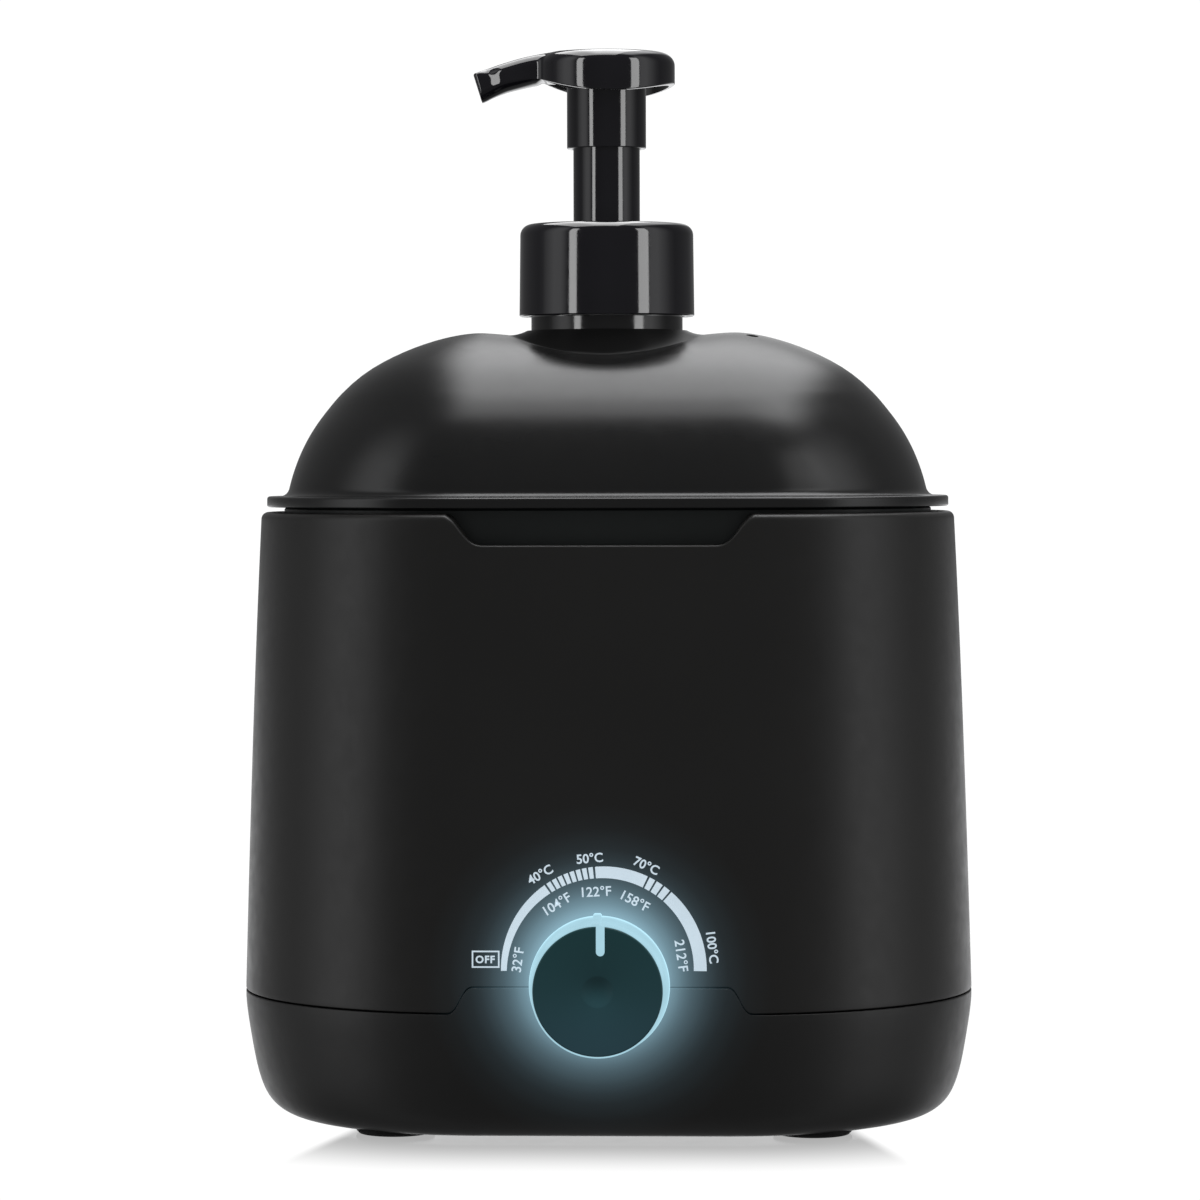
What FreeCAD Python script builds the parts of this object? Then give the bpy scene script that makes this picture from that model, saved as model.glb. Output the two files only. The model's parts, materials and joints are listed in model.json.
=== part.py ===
import FreeCAD, Part
import math
import os

V = FreeCAD.Vector

# ---------------------------------------------------------------------------
# Hot lather machine: a heated water bath in a stadium-shaped housing, a foam
# pump bottle that stands in the bath, and a domed lid that the bottle's neck
# passes through. Millimetres. Local axes: the bottle axis is Z, the front
# with the dial looks along -Y, the floor is z = 0. Every solid is moved back
# by Y_SHIFT on export, so that the origin is under the middle of the box.
# ---------------------------------------------------------------------------

# driving dimensions: plan
XC = 33.0                 # end centres of the stadium plan at X = +-XC
Y_SHIFT = 7.475           # knob front at -82.05, back of the inlet at +67.1
WALL = 2.5                # moulded wall of body and base

# driving dimensions: heights
Z_FOOT = 1.2              # underside of the base above the floor
Z_SEAM = 35.2             # seam between base and body
Z_TAB = 42.2              # top of the front tab of the base
Z_BODY_TOP = 166.2
Z_NOTCH = 158.0           # bottom of the lift notch in the body's top edge
Z_TANK_RIM = 167.5
Z_LID = 167.6             # underside of the lid flange
Z_FLANGE = 170.5          # top of the lid flange
Z_BOSS = 215.8            # top of the lid boss
Z_NECK_RING = 219.4       # top of the bottle's neck ring
Z_COLLAR = 219.6          # bottom of the pump collar
Z_COLLAR_TOP = 245.5
Z_CHIMNEY = 266.6         # top of the pump guide
Z_SKIRT = 265.6           # lower end of the head's skirt
Z_RIM = 280.5             # lowest point of the head's arched lower rim
Z_TOP = 292.2

# driving dimensions: radii of the stadium ends
R_TANK = 55.9             # tank outside at its rim
R_TANK_HOLE = 56.2        # opening in the body's top
R_FLANGE = 60.65          # lid flange
Z_CREST = 215.3           # crest of the dome
DOME = [(54.45, 173.1), (53.95, 175.0), (52.95, 178.0), (51.75, 181.3), (50.2, 184.6), (48.35, 187.9), (46.1, 191.2), (43.75, 194.5),
        (40.85, 197.9), (37.4, 201.2), (33.2, 204.5), (27.6, 207.7), (19.9, 211.1), (12.0, 213.6), (5.0, 214.95)]
LID_WALL = 2.2

# driving dimensions: dial
Z_DIAL = 42.8             # height of the knob axis
R_CAP = 16.9              # dark face of the knob
X_BAR = 0.75              # the pointer bar stands a little right of the knob axis
R_LENS_FRONT = 17.3
R_LENS_REAR = 18.5
Y_KNOB = -82.0            # face of the knob
Y_LENS_REAR = -67.9
R_PANEL_HOLE = 13.0       # opening in the front wall for the light guide

# driving dimensions: foam pump
R_BOSS_HOLE = 21.3
R_NECK = 20.8
R_COLLAR = 24.05
R_CHIMNEY = 9.13
R_SKIRT = 10.86
R_HEAD = 18.8
STROKE = 17.0
THREAD_PITCH = 4.2
THREAD_TURNS = 1.25
R_BOTTLE = 39.0

# driving dimensions: fasteners and feet
FOOT_XY = (56.0, 38.0)
PILLAR_XY = (60.0, 22.0)
CASE_XY = (73.0, 30.0)
R_FOOT = 10.5

os.makedirs("parts", exist_ok=True)


def save(name, shape):
    s = shape.copy()
    s.translate(V(0, Y_SHIFT, 0))
    if not s.isValid():
        print("NOT VALID", name)
    n = len(s.Solids)
    print("%-18s solids %d  volume %.0f" % (name, n, s.Volume))
    s.exportStep("parts/%s.step" % name)


# --- profile helpers -------------------------------------------------------

def profile(start, segs):
    """Closed face in the XZ plane from (r, z) points. A segment is ("L", p),
    ("A", mid, end) or ("S", [points]), a spline through the points."""
    edges = []
    cur = start

    def p3(p):
        return V(p[0], 0, p[1])

    for s in segs:
        if s[0] == "L":
            if abs(cur[0] - s[1][0]) + abs(cur[1] - s[1][1]) > 1e-6:
                edges.append(Part.LineSegment(p3(cur), p3(s[1])).toShape())
            cur = s[1]
        elif s[0] == "A":
            edges.append(Part.Arc(p3(cur), p3(s[1]), p3(s[2])).toShape())
            cur = s[2]
        elif s[0] == "S":
            b = Part.BSplineCurve()
            b.interpolate([p3(cur)] + [p3(q) for q in s[1]])
            edges.append(b.toShape())
            cur = s[1][-1]
    if abs(cur[0] - start[0]) + abs(cur[1] - start[1]) > 1e-6:
        edges.append(Part.LineSegment(p3(cur), p3(start)).toShape())
    return Part.Face(Part.Wire(edges))


def poly(points):
    return profile(points[0], [("L", p) for p in points[1:]])


def spin(face, angle=360.0):
    """Turned solid about the bottle axis."""
    return face.revolve(V(0, 0, 0), V(0, 0, 1), angle)


def stadium(face):
    """Solid with the plan of a stadium: half turns about X = +-XC and two
    straight runs between them, from one half section (r, z)."""
    f = face.copy()
    f.rotate(V(0, 0, 0), V(0, 0, 1), -90)
    right = f.revolve(V(0, 0, 0), V(0, 0, 1), 180)
    right.translate(V(XC, 0, 0))
    left = right.copy()
    left.rotate(V(0, 0, 0), V(0, 0, 1), 180)
    front = f.copy()
    front.translate(V(-XC, 0, 0))
    front = front.extrude(V(2 * XC, 0, 0))
    back = front.copy()
    back.rotate(V(0, 0, 0), V(0, 0, 1), 180)
    return right.multiFuse([front, left, back]).removeSplitter()


def box(x0, x1, y0, y1, z0, z1):
    return Part.makeBox(x1 - x0, y1 - y0, z1 - z0, V(x0, y0, z0))


def cyl(r, x, y, z0, z1):
    return Part.makeCylinder(r, z1 - z0, V(x, y, z0), V(0, 0, 1))


def ycyl(r, y0, y1, x=0.0, z=Z_DIAL):
    return Part.makeCylinder(r, y1 - y0, V(x, y0, z), V(0, 1, 0))


def tube(r1, r0, x, y, z0, z1):
    return cyl(r1, x, y, z0, z1).cut(cyl(r0, x, y, z0 - 1, z1 + 1))


def corners(xy):
    return [(sx * xy[0], sy * xy[1]) for sx in (1, -1) for sy in (1, -1)]


def one(shape):
    """The single solid in a boolean's result."""
    s = shape.removeSplitter()
    return s.Solids[0] if len(s.Solids) == 1 else s


def front_prism(edges, y0, y1):
    """Prism along Y from a closed outline in the XZ plane."""
    f = Part.Face(Part.Wire(edges))
    f.translate(V(0, y0, 0))
    return f.extrude(V(0, y1 - y0, 0))


def s_curve(x0, z0, x1, z1):
    """S-shaped edge that leaves and arrives level."""
    b = Part.BezierCurve()
    xm = (x0 + x1) / 2
    b.setPoles([V(x0, 0, z0), V(xm, 0, z0), V(xm, 0, z1), V(x1, 0, z1)])
    return b.toShape()


def line(a, b):
    return Part.LineSegment(V(a[0], 0, a[1]), V(b[0], 0, b[1])).toShape()


def screw(x, y, z_head, length, r=1.5, r_head=2.8, h_head=2.0, up=True):
    """Pan-head screw with a cross recess. up: the shank points up."""
    s = cyl(r_head, 0, 0, 0, h_head).fuse(cyl(r, 0, 0, h_head, h_head + length))
    for a in (0, 90):
        b = box(-1.6, 1.6, -0.35, 0.35, -0.1, 1.1)
        b.rotate(V(0, 0, 0), V(0, 0, 1), a)
        s = s.cut(b)
    s = one(s)
    if not up:
        s.rotate(V(0, 0, 0), V(1, 0, 0), 180)
    s.translate(V(x, y, z_head))
    return s


def round_route(points, radius):
    """Wire of straight runs joined by tangent arcs."""
    pts = [V(*p) for p in points]
    edges = []
    cur = pts[0]
    for i in range(1, len(pts) - 1):
        a, b, c = pts[i - 1], pts[i], pts[i + 1]
        u = (a - b).normalize()
        w = (c - b).normalize()
        ang = math.acos(max(-1, min(1, u.dot(w))))
        back = radius / math.tan(ang / 2)
        p0 = b + u * back
        p1 = b + w * back
        bis = (u + w).normalize()
        centre = b + bis * (radius / math.sin(ang / 2))
        mid = centre - bis * radius
        edges.append(Part.LineSegment(cur, p0).toShape())
        edges.append(Part.Arc(p0, mid, p1).toShape())
        cur = p1
    edges.append(Part.LineSegment(cur, pts[-1]).toShape())
    return Part.Wire(edges)


def lead(points, r, bend):
    path = round_route(points, bend)
    d = V(*points[1]) - V(*points[0])
    c = Part.Wire(Part.makeCircle(r, V(*points[0]), d))
    s = path.makePipeShell([c], True, False)
    want = math.pi * r * r * path.Length
    print("   lead length %.1f mm, volume ratio %.3f" % (path.Length, s.Volume / want))
    return s


def thread_ridge(r_base, r_tip, w_base, w_tip, z0):
    """Helical ridge of trapezoid section, right-hand."""
    h = Part.makeHelix(THREAD_PITCH, THREAD_PITCH * THREAD_TURNS, (r_base + r_tip) / 2)
    h.translate(V(0, 0, z0))
    pts = [V(r_base, 0, z0 - w_base / 2), V(r_tip, 0, z0 - w_tip / 2),
           V(r_tip, 0, z0 + w_tip / 2), V(r_base, 0, z0 + w_base / 2)]
    w = Part.makePolygon(pts + [pts[0]])
    return Part.Wire(h.Edges).makePipeShell([w], True, True)


# ---------------------------------------------------------------------------
# Housing
# ---------------------------------------------------------------------------

# outer side of the body: widest just over the seam, then a long even taper
side = [(66.86, 40.3), (66.62, 49.9), (66.24, 62.2), (65.84, 74.6), (65.43, 86.9), (64.99, 99.3), (64.52, 111.6),
        (64.05, 124.0), (63.58, 136.3), (63.06, 148.6), (62.43, 161.0), (62.2, 164.2)]
z_body0 = Z_SEAM + 0.2
body_outer = stadium(profile((0, z_body0), [
    ("L", (67.0, z_body0)), ("S", side), ("A", (61.7, 165.65), (60.4, Z_BODY_TOP)),
    ("L", (0, Z_BODY_TOP))]))
z_land = Z_BODY_TOP - 2.0
body_inner = stadium(poly([
    (0, z_body0 - 2), (63.52, z_body0 - 2), (63.75, 40), (63.45, 64.5), (62.35, 97.6),
    (61.2, 130.6), (60.0, 162.4), (58.4, z_land), (0, z_land)]))


def notch(dz, y0=-75.0, y1=-40.0):
    xa, xb, zt = 42.9, 30.6, Z_BODY_TOP + 0.4 + dz
    zb = Z_NOTCH + dz
    return front_prism([
        s_curve(-xa, zt, -xb, zb), line((-xb, zb), (xb, zb)), s_curve(xb, zb, xa, zt),
        line((xa, zt), (xa, 176)), line((xa, 176), (-xa, 176)), line((-xa, 176), (-xa, zt))], y0, y1)


def tab(dz, y0, y1):
    xa, xb = 40.2, 33.3
    z0, z1 = Z_SEAM + dz, Z_TAB + dz
    return front_prism([
        s_curve(-xa, z0, -xb, z1), line((-xb, z1), (xb, z1)), s_curve(xb, z1, xa, z0),
        line((xa, z0), (xa, z0 - 6)), line((xa, z0 - 6), (-xa, z0 - 6)), line((-xa, z0 - 6), (-xa, z0))], y0, y1)


tank_hole = stadium(poly([(0, 150), (R_TANK_HOLE, 150), (R_TANK_HOLE, 180), (0, 180)]))
panel_hole = ycyl(R_PANEL_HOLE, -80, -50)

cavity = body_inner.cut(notch(-2.0))
body = body_outer.cut(cavity)
body = body.cut(notch(0.0))
body = body.cut(tank_hole)
body = body.cut(tab(0.2, -75, -55))
body = body.cut(panel_hole)
# screw columns with a rib to the wall
for x, y in corners(CASE_XY):
    ex = XC * (1 if x > 0 else -1)
    dx, dy = x - ex, y
    d = math.hypot(dx, dy)
    ux, uy = dx / d, dy / d
    col = cyl(4.0, x, y, 20.0, 57.0)
    rib = Part.makeBox(11.8, 2.0, 18.0, V(0, -1.0, 39.0))
    rib.rotate(V(0, 0, 0), V(0, 0, 1), math.degrees(math.atan2(uy, ux)))
    rib.translate(V(x + ux * 3.0, y + uy * 3.0, 0))
    body = body.fuse(col.fuse(rib)).cut(cyl(1.25, x, y, 19, 40))
body = one(body)
save("body_shell", body)

# base tray
base_outer = stadium(profile((0, Z_FOOT), [
    ("L", (53.5, Z_FOOT)), ("A", (58.25, 3.25), (61.5, 7.0)),
    ("S", [(62.45, 8.9), (63.08, 10.8), (63.95, 13.9), (64.95, 18.8), (65.8, 23.6), (66.45, 28.0), (66.85, 31.5), (67.0, 35.2)]),
    ("S", [(66.86, 40.3), (66.62, 49.9)]), ("L", (0, 49.9))]))
base_inner = stadium(poly([
    (0, 3.7), (54.5, 3.7), (57.6, 5.2), (58.9, 8.4), (60.7, 14.9), (62.1, 23.2), (63.3, 31.5),
    (63.52, 35.2), (63.75, 40), (63.7, 50), (0, 50)]))
tray = base_outer.cut(base_inner)
low = tray.common(box(-120, 120, -90, 90, -5, Z_SEAM - 0.2))
up_tab = tray.common(tab(-0.2, -75, -58))
base = low.fuse(up_tab)
lip = stadium(poly([(61.9, 29.5), (62.9, 26.5), (64.0, 31.0), (64.0, 34.9), (63.2, 35.0), (63.2, 38.6), (61.9, 38.6)]))
base = base.fuse(lip)
base = base.cut(panel_hole).cut(ycyl(15.2, -63.72, -50))
for x, y in corners(PILLAR_XY):
    base = base.fuse(cyl(4.5, x, y, 2.5, 51.9))
for x, y in corners(CASE_XY):
    base = base.fuse(cyl(4.6, x, y, 2.5, 19.8))
BOARD_XY = [(-32.0, -6.0), (32.0, -6.0), (-32.0, 34.0), (32.0, 34.0)]
BRACKET_XY = [(-11.0, -41.5), (11.0, -41.5)]
for x, y in BOARD_XY:
    base = base.fuse(cyl(3.2, x, y, 3.0, 9.0))
cuts = []
for x, y in corners(PILLAR_XY):
    cuts += [cyl(1.7, x, y, -1, 53), cyl(3.6, x, y, -1, 42.0)]
for x, y in corners(CASE_XY):
    cuts += [cyl(1.7, x, y, -1, 21), cyl(3.6, x, y, -1, 14.0)]
for x, y in BOARD_XY:
    cuts.append(cyl(1.2, x, y, 3.2, 10))
for x, y in corners(FOOT_XY):
    cuts.append(cyl(R_FOOT + 0.15, x, y, -1, 2.2))
for x, y in BRACKET_XY:
    base = base.fuse(cyl(3.2, x, y, 3.0, 8.0))
    cuts.append(cyl(1.2, x, y, 3.2, 9.0))
# opening for the mains inlet, and cooling slots in the floor
cuts.append(box(-12.0, 12.0, 50, 75, 13.0, 27.0))
for i in range(-3, 4):
    cuts.append(box(i * 7.0 - 1.2, i * 7.0 + 1.2, -30, -14, -1, 5))
for c in cuts:
    base = base.cut(c)
base = one(base)
save("base_shell", base)

# feet, with a chamfered lower edge
foot = spin(poly([(0, 0), (R_FOOT - 0.7, 0), (R_FOOT, 0.7), (R_FOOT, 2.2), (0, 2.2)]))
feet = []
for x, y in corners(FOOT_XY):
    f = foot.copy()
    f.translate(V(x, y, 0))
    feet.append(f)
save("rubber_feet", Part.makeCompound(feet))

# ---------------------------------------------------------------------------
# Water tank and heater
# ---------------------------------------------------------------------------
Z_FLOOR = 62.0
tank_outer = stadium(profile((0, 60), [
    ("L", (52.6, 60)), ("A", (54.0, 60.55), (54.6, 62.0)), ("L", (R_TANK, 165.0)), ("L", (R_TANK, Z_TANK_RIM - 0.5)),
    ("L", (R_TANK - 0.5, Z_TANK_RIM)), ("L", (0, Z_TANK_RIM))]))
tank_inner = stadium(profile((0, Z_FLOOR), [
    ("L", (50.6, Z_FLOOR)), ("A", (52.05, 62.6), (52.65, 64.0)), ("L", (53.9, 180)), ("L", (0, 180))]))
tank = tank_outer.cut(tank_inner)
CLAMP_XY = (31.5, 31.5)
for x, y in corners(PILLAR_XY):
    tank = tank.fuse(cyl(4.5, x, y, 52.0, 61.0))
for x, y in corners(CLAMP_XY):
    tank = tank.fuse(cyl(3.5, x, y, 55.5, 61.0))
tank = tank.cut(cyl(32.0, 0, 0, 50, 70))
# four short arcs that centre the bottle
ring = tube(41.8, 40.2, 0, 0, 61.5, 68.0)
keep = None
for a in (45, 135, 225, 315):
    b = box(36, 46, -9, 9, 60, 70)
    b.rotate(V(0, 0, 0), V(0, 0, 1), a)
    keep = b if keep is None else keep.fuse(b)
tank = tank.fuse(ring.common(keep))
for x, y in corners(PILLAR_XY):
    tank = tank.cut(cyl(1.25, x, y, 51, 59.5))
for x, y in corners(CLAMP_XY):
    tank = tank.cut(cyl(1.25, x, y, 54, 60.0))
tank = one(tank)
save("water_tank", tank)

plate = cyl(38.0, 0, 0, 55.5, 58.5)
save("heater_plate", plate)
save("heater_gasket", tube(38.0, 34.5, 0, 0, 58.5, 60.0))
clamp = tube(48.0, 33.5, 0, 0, 54.0, 55.5)
for x, y in corners(CLAMP_XY):
    clamp = clamp.cut(cyl(1.7, x, y, 53, 57))
save("heater_clamp", clamp)
save("clamp_screws", Part.makeCompound([screw(x, y, 52.0, 5.5, 1.25) for x, y in corners(CLAMP_XY)]))

# tubular element: most of a ring, with two cold ends that turn down
R_EL, r_el = 25.0, 3.1
c = Part.Face(Part.Wire(Part.makeCircle(r_el, V(R_EL, 0, 55.5 - r_el), V(0, 1, 0))))
c.rotate(V(0, 0, 0), V(0, 0, 1), 105)
el = c.revolve(V(0, 0, 0), V(0, 0, 1), 330)
pins = []
for a in (105.0, 435.0):
    px, py = R_EL * math.cos(math.radians(a)), R_EL * math.sin(math.radians(a))
    pins.append((px, py))
    el = el.fuse(cyl(r_el, px, py, 44.0, 55.5 - r_el)).fuse(Part.makeSphere(r_el, V(px, py, 55.5 - r_el)))
    el = el.fuse(cyl(1.2, px, py, 38.0, 46.0))
save("heating_element", one(el))

fuse_body = Part.makeCylinder(2.4, 11, V(-5.5, 8, 53.0), V(1, 0, 0)).fuse(
    Part.makeCylinder(0.5, 23, V(-11.5, 8, 53.0), V(1, 0, 0)))
save("thermal_fuse", one(fuse_body))
sensor = cyl(2.2, 0, -8, 48.0, 55.5).fuse(cyl(4.0, 0, -8, 54.5, 55.5))
save("temperature_sensor", one(sensor))
save("tank_screws", Part.makeCompound([screw(x, y, 40.0, 16.5, 1.25) for x, y in corners(PILLAR_XY)]))
save("case_screws", Part.makeCompound([screw(x, y, 12.0, 18.0, 1.25) for x, y in corners(CASE_XY)]))

# ---------------------------------------------------------------------------
# Electronics
# ---------------------------------------------------------------------------
board = box(-37, 37, -11, 39, 9.0, 10.6)
for x, y in BOARD_XY:
    board = board.cut(cyl(1.6, x, y, 8, 12))
save("control_board", one(board))
save("board_screws", Part.makeCompound([screw(x, y, 12.6, 6.4, 1.2, 2.6, 2.0, up=False) for x, y in BOARD_XY]))

core = box(-13, 13, 6, 26, 12.6, 26.6).fuse(box(-9, 9, 1.0, 31.0, 14.6, 24.6))
core = core.fuse(box(-14, 14, 4, 28, 10.6, 12.6))
save("transformer", one(core))
relay = box(17.5, 33.5, 4, 22, 10.6, 25.0).fuse(box(18.1, 32.9, 4.6, 21.4, 25.0, 25.6))
save("relay", one(relay))
cap = box(-34, -18.5, -2, 5, 10.6, 22.6)
cap = cap.makeFillet(1.2, cap.Edges)
save("filter_capacitor", cap)
tb = box(-31, -17, 14, 27, 10.6, 20.6)
for x in (-27.5, -20.5):
    tb = tb.cut(cyl(2.1, x, 18.0, 15, 22)).cut(Part.makeCylinder(1.8, 6, V(x, 21.5, 14.4), V(0, 1, 0)))
save("terminal_block", one(tb))

# ---------------------------------------------------------------------------
# Dial: bracket, rotary control, light guide, LED board
# ---------------------------------------------------------------------------
bracket = box(-16, 16, -54.0, -52.5, 8.0, 56.0).fuse(box(-16, 16, -54.0, -36.5, 8.0, 9.5))
bracket = bracket.cut(ycyl(4.7, -56, -50))
for x, y in BRACKET_XY:
    bracket = bracket.cut(cyl(1.6, x, y, 7, 11))
save("dial_bracket", one(bracket))
save("bracket_screws", Part.makeCompound([screw(x, y, 11.5, 5.5, 1.2, 2.6, 2.0, up=False) for x, y in BRACKET_XY]))

control = ycyl(10.0, -52.5, -42.5).fuse(ycyl(4.5, -58.0, -52.0))
control = control.fuse(box(-7, 7, -50.0, -48.4, 24.0, 36.0))
control = control.cut(ycyl(3.06, -59, -46.2))
save("dial_control", one(control))

hexa = []
for i in range(6):
    a = math.radians(60 * i + 30)
    hexa.append(V(6.3 * math.cos(a), -56.2, Z_DIAL + 6.3 * math.sin(a)))
nut = Part.Face(Part.makePolygon(hexa + [hexa[0]])).extrude(V(0, 2.2, 0))
nut = nut.cut(ycyl(4.5, -58, -50))
save("dial_nut", one(nut))

guide = ycyl(15.0, -67.6, -67.05).fuse(ycyl(12.8, -67.6, -62.3)).fuse(ycyl(14.5, -63.3, -62.3))
guide = guide.cut(ycyl(4.0, -70, -60))
for a in (30, 150, 270):
    guide = guide.fuse(ycyl(1.0, -62.8, -58.9, 11.5 * math.cos(math.radians(a)), Z_DIAL + 11.5 * math.sin(math.radians(a))))
save("light_guide", one(guide))
pcb = ycyl(13.0, -60.9, -59.3).cut(ycyl(5.5, -62, -58))
for a in (30, 150, 270):
    pcb = pcb.cut(ycyl(1.1, -62, -58, 11.5 * math.cos(math.radians(a)), Z_DIAL + 11.5 * math.sin(math.radians(a))))
save("led_board", one(pcb))
leds = []
for i in range(6):
    b = box(-1.4, 1.4, -62.0, -60.9, Z_DIAL + 7.6, Z_DIAL + 10.4)
    b.rotate(V(0, 0, Z_DIAL), V(0, 1, 0), 60 * i)
    leds.append(b)
save("leds", Part.makeCompound(leds))

shaft = ycyl(3.0, -79.6, -46.5).cut(box(-4, 4, -80, -70.0, Z_DIAL + 2.2, Z_DIAL + 4))
save("dial_shaft", one(shaft))


def dial_turned(points):
    """Turned about the knob axis from (r, y) points."""
    f = Part.Face(Part.makePolygon([V(r, y, Z_DIAL) for r, y in points + [points[0]]]))
    return f.revolve(V(0, 0, Z_DIAL), V(0, 1, 0), 360)


# dark cap: a thin disc with a soft edge, a shallow dimple and a hub
capk = dial_turned([(0, -80.95), (1.5, -81.05), (3.2, -81.7), (4.2, Y_KNOB), (R_CAP - 0.7, Y_KNOB), (R_CAP, -81.5),
                    (R_CAP, -80.0), (5.6, -80.0), (5.6, -69.5), (0, -69.5)])
bore = ycyl(3.0, -79.7, -69).cut(box(-4, 4, -80, -70.05, Z_DIAL + 2.2, Z_DIAL + 4))
slot = box(X_BAR - 1.125, X_BAR + 1.125, -83, -80.0, Z_DIAL + 10.4, Z_DIAL + 18)
slot = slot.fuse(Part.makeCylinder(1.125, 3.0, V(X_BAR, -83, Z_DIAL + 10.4), V(0, 1, 0)))
capk = capk.cut(bore).cut(slot)
save("knob_cap", one(capk))

# lens: conical skirt, web behind the cap, pointer bar and the rib along the skirt
lens = dial_turned([(R_CAP, -81.6), (R_LENS_FRONT, -81.6), (R_LENS_REAR, Y_LENS_REAR), (R_LENS_REAR - 1.8, Y_LENS_REAR),
                    (15.6, -78.4), (5.6, -78.4), (5.6, -80.0), (R_CAP, -80.0)])
bar = box(X_BAR - 1.125, X_BAR + 1.125, -82.05, -80.0, Z_DIAL + 10.4, Z_DIAL + 17.2)
bar = bar.fuse(Part.makeCylinder(1.125, 2.05, V(X_BAR, -82.05, Z_DIAL + 10.4), V(0, 1, 0)))
rib_pts = [V(-1.5, -82.05, Z_DIAL + 16.9), V(-1.5, -82.05, Z_DIAL + 18.2), V(-1.5, Y_LENS_REAR, Z_DIAL + 19.5),
           V(-1.5, Y_LENS_REAR, Z_DIAL + 17.4), V(-1.5, -80.0, Z_DIAL + 16.9)]
rib = Part.Face(Part.makePolygon(rib_pts + [rib_pts[0]])).extrude(V(2.2, 0, 0))
lens = lens.fuse(bar).fuse(rib)
save("knob_lens", one(lens))

# ---------------------------------------------------------------------------
# Mains inlet at the back of the base
# ---------------------------------------------------------------------------
inlet = box(-15, 15, 62.6, 67.1, 11.2, 28.6)
inlet = inlet.makeFillet(2.0, [e for e in inlet.Edges if abs(e.Vertexes[0].Y - e.Vertexes[1].Y) > 1])
inlet = inlet.fuse(box(-11.8, 11.8, 52.0, 63.0, 13.2, 26.8))
for x in (-3.9, 3.9):
    inlet = inlet.cut(Part.makeCylinder(5.0, 12.0, V(x, 55.5, 20.0), V(0, 1, 0)))
inlet = inlet.cut(box(-3.9, 3.9, 55.5, 68, 16.4, 23.6))
# the flange's inner side follows the sloping wall of the tray
inlet = inlet.cut(base_outer.common(box(-30, 30, 50, 80, 5, 13.0))).cut(base_outer.common(box(-30, 30, 50, 80, 27.0, 32)))
inlet = inlet.cut(base_outer.common(box(12.0, 30, 50, 80, 5, 32))).cut(base_outer.common(box(-30, -12.0, 50, 80, 5, 32)))
ipins = []
for x in (-4.3, 4.3):
    ipins.append(Part.makeCylinder(1.2, 15.0, V(x, 49.0, 20.0), V(0, 1, 0)))
for i in range(2):
    x = (-4.3, 4.3)[i]
    ipins[i] = one(ipins[i].fuse(Part.makeSphere(1.2, V(x, 64.0, 20.0))))
hole_pins = ipins[0].fuse(ipins[1])
save("inlet_pins", Part.makeCompound(ipins))
inlet = one(inlet.cut(hole_pins))
save("power_inlet", inlet)

save("inlet_leads", Part.makeCompound([
    lead([(-4.3, 49.0, 20.0), (-4.3, 44.5, 20.0), (-27.5, 41.0, 18.0), (-27.5, 30.0, 14.4), (-27.5, 24.0, 14.4)], 1.0, 2.2),
    lead([(4.3, 49.0, 20.0), (4.3, 44.5, 20.0), (-17.0, 39.0, 22.0), (-20.5, 30.0, 14.4), (-20.5, 24.0, 14.4)], 1.0, 2.2)]))
save("heater_leads", Part.makeCompound([
    lead([(pins[0][0], pins[0][1], 38.0), (pins[0][0], pins[0][1], 32.0), (-22.0, 33.0, 28.0), (-35.0, 29.0, 19.0), (-35.0, 29.0, 10.6)], 1.0, 2.2),
    lead([(pins[1][0], pins[1][1], 38.0), (pins[1][0], pins[1][1], 32.0), (24.0, 30.0, 30.0), (35.4, 26.0, 20.0), (35.4, 26.0, 10.6)], 1.0, 2.2)]))
save("dial_leads", Part.makeCompound([
    lead([(x, -49.2, 24.0), (x, -49.2, 17.0), (x * 1.6, -30.0, 13.0), (x * 2.0, -7.0, 17.0), (x * 2.0, -7.0, 10.6)], 0.7, 2.2)
    for x in (-4.5, 0.0, 4.5)]))

# ---------------------------------------------------------------------------
# Lid
# ---------------------------------------------------------------------------

def inside(points, wall):
    """The dome's points moved inward by the wall, along each point's normal."""
    out = []
    for i in range(len(points)):
        a = points[max(0, i - 1)]
        b = points[min(len(points) - 1, i + 1)]
        dx, dz = b[0] - a[0], b[1] - a[1]
        d = math.hypot(dx, dz)
        out.append((points[i][0] - wall * dz / d, points[i][1] + wall * dx / d))
    return out


foot_p = DOME[0]
lid_outer = stadium(profile((0, Z_LID), [
    ("L", (R_FLANGE - 0.3, Z_LID)), ("L", (R_FLANGE, Z_LID + 0.3)), ("L", (R_FLANGE, Z_FLANGE - 0.4)), ("L", (R_FLANGE - 0.4, Z_FLANGE)),
    ("L", (foot_p[0] + 2.6, Z_FLANGE)), ("A", (foot_p[0] + 0.76, Z_FLANGE + 0.76), foot_p),
    ("S", DOME[1:] + [(0, Z_CREST)]), ("L", (0, Z_LID))]))
lid_inner = stadium(profile((0, Z_LID - 10), [
    ("L", (51.8, Z_LID - 10)), ("L", (51.8, Z_LID)), ("L", (DOME[0][0] - LID_WALL, Z_FLANGE)),
    ("S", inside(DOME, LID_WALL) + [(0, Z_CREST - LID_WALL)]), ("L", (0, Z_LID - 10))]))
skirt = stadium(poly([(0, Z_LID - 4.2), (52.9, Z_LID - 4.2), (53.3, Z_LID - 3.6), (53.3, Z_LID + 1), (0, Z_LID + 1)]))
boss = spin(profile((0, 200.0), [
    ("L", (25.4, 200.0)), ("L", (25.4, 206.6)), ("L", (24.5, 208.2)), ("A", (23.05, 211.0), (22.5, 215.2)),
    ("A", (22.35, 215.65), (21.9, Z_BOSS)), ("L", (0, Z_BOSS))]))
lid = lid_outer.fuse(skirt).fuse(boss).cut(lid_inner).cut(cyl(R_BOSS_HOLE, 0, 0, 190, 230))
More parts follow.
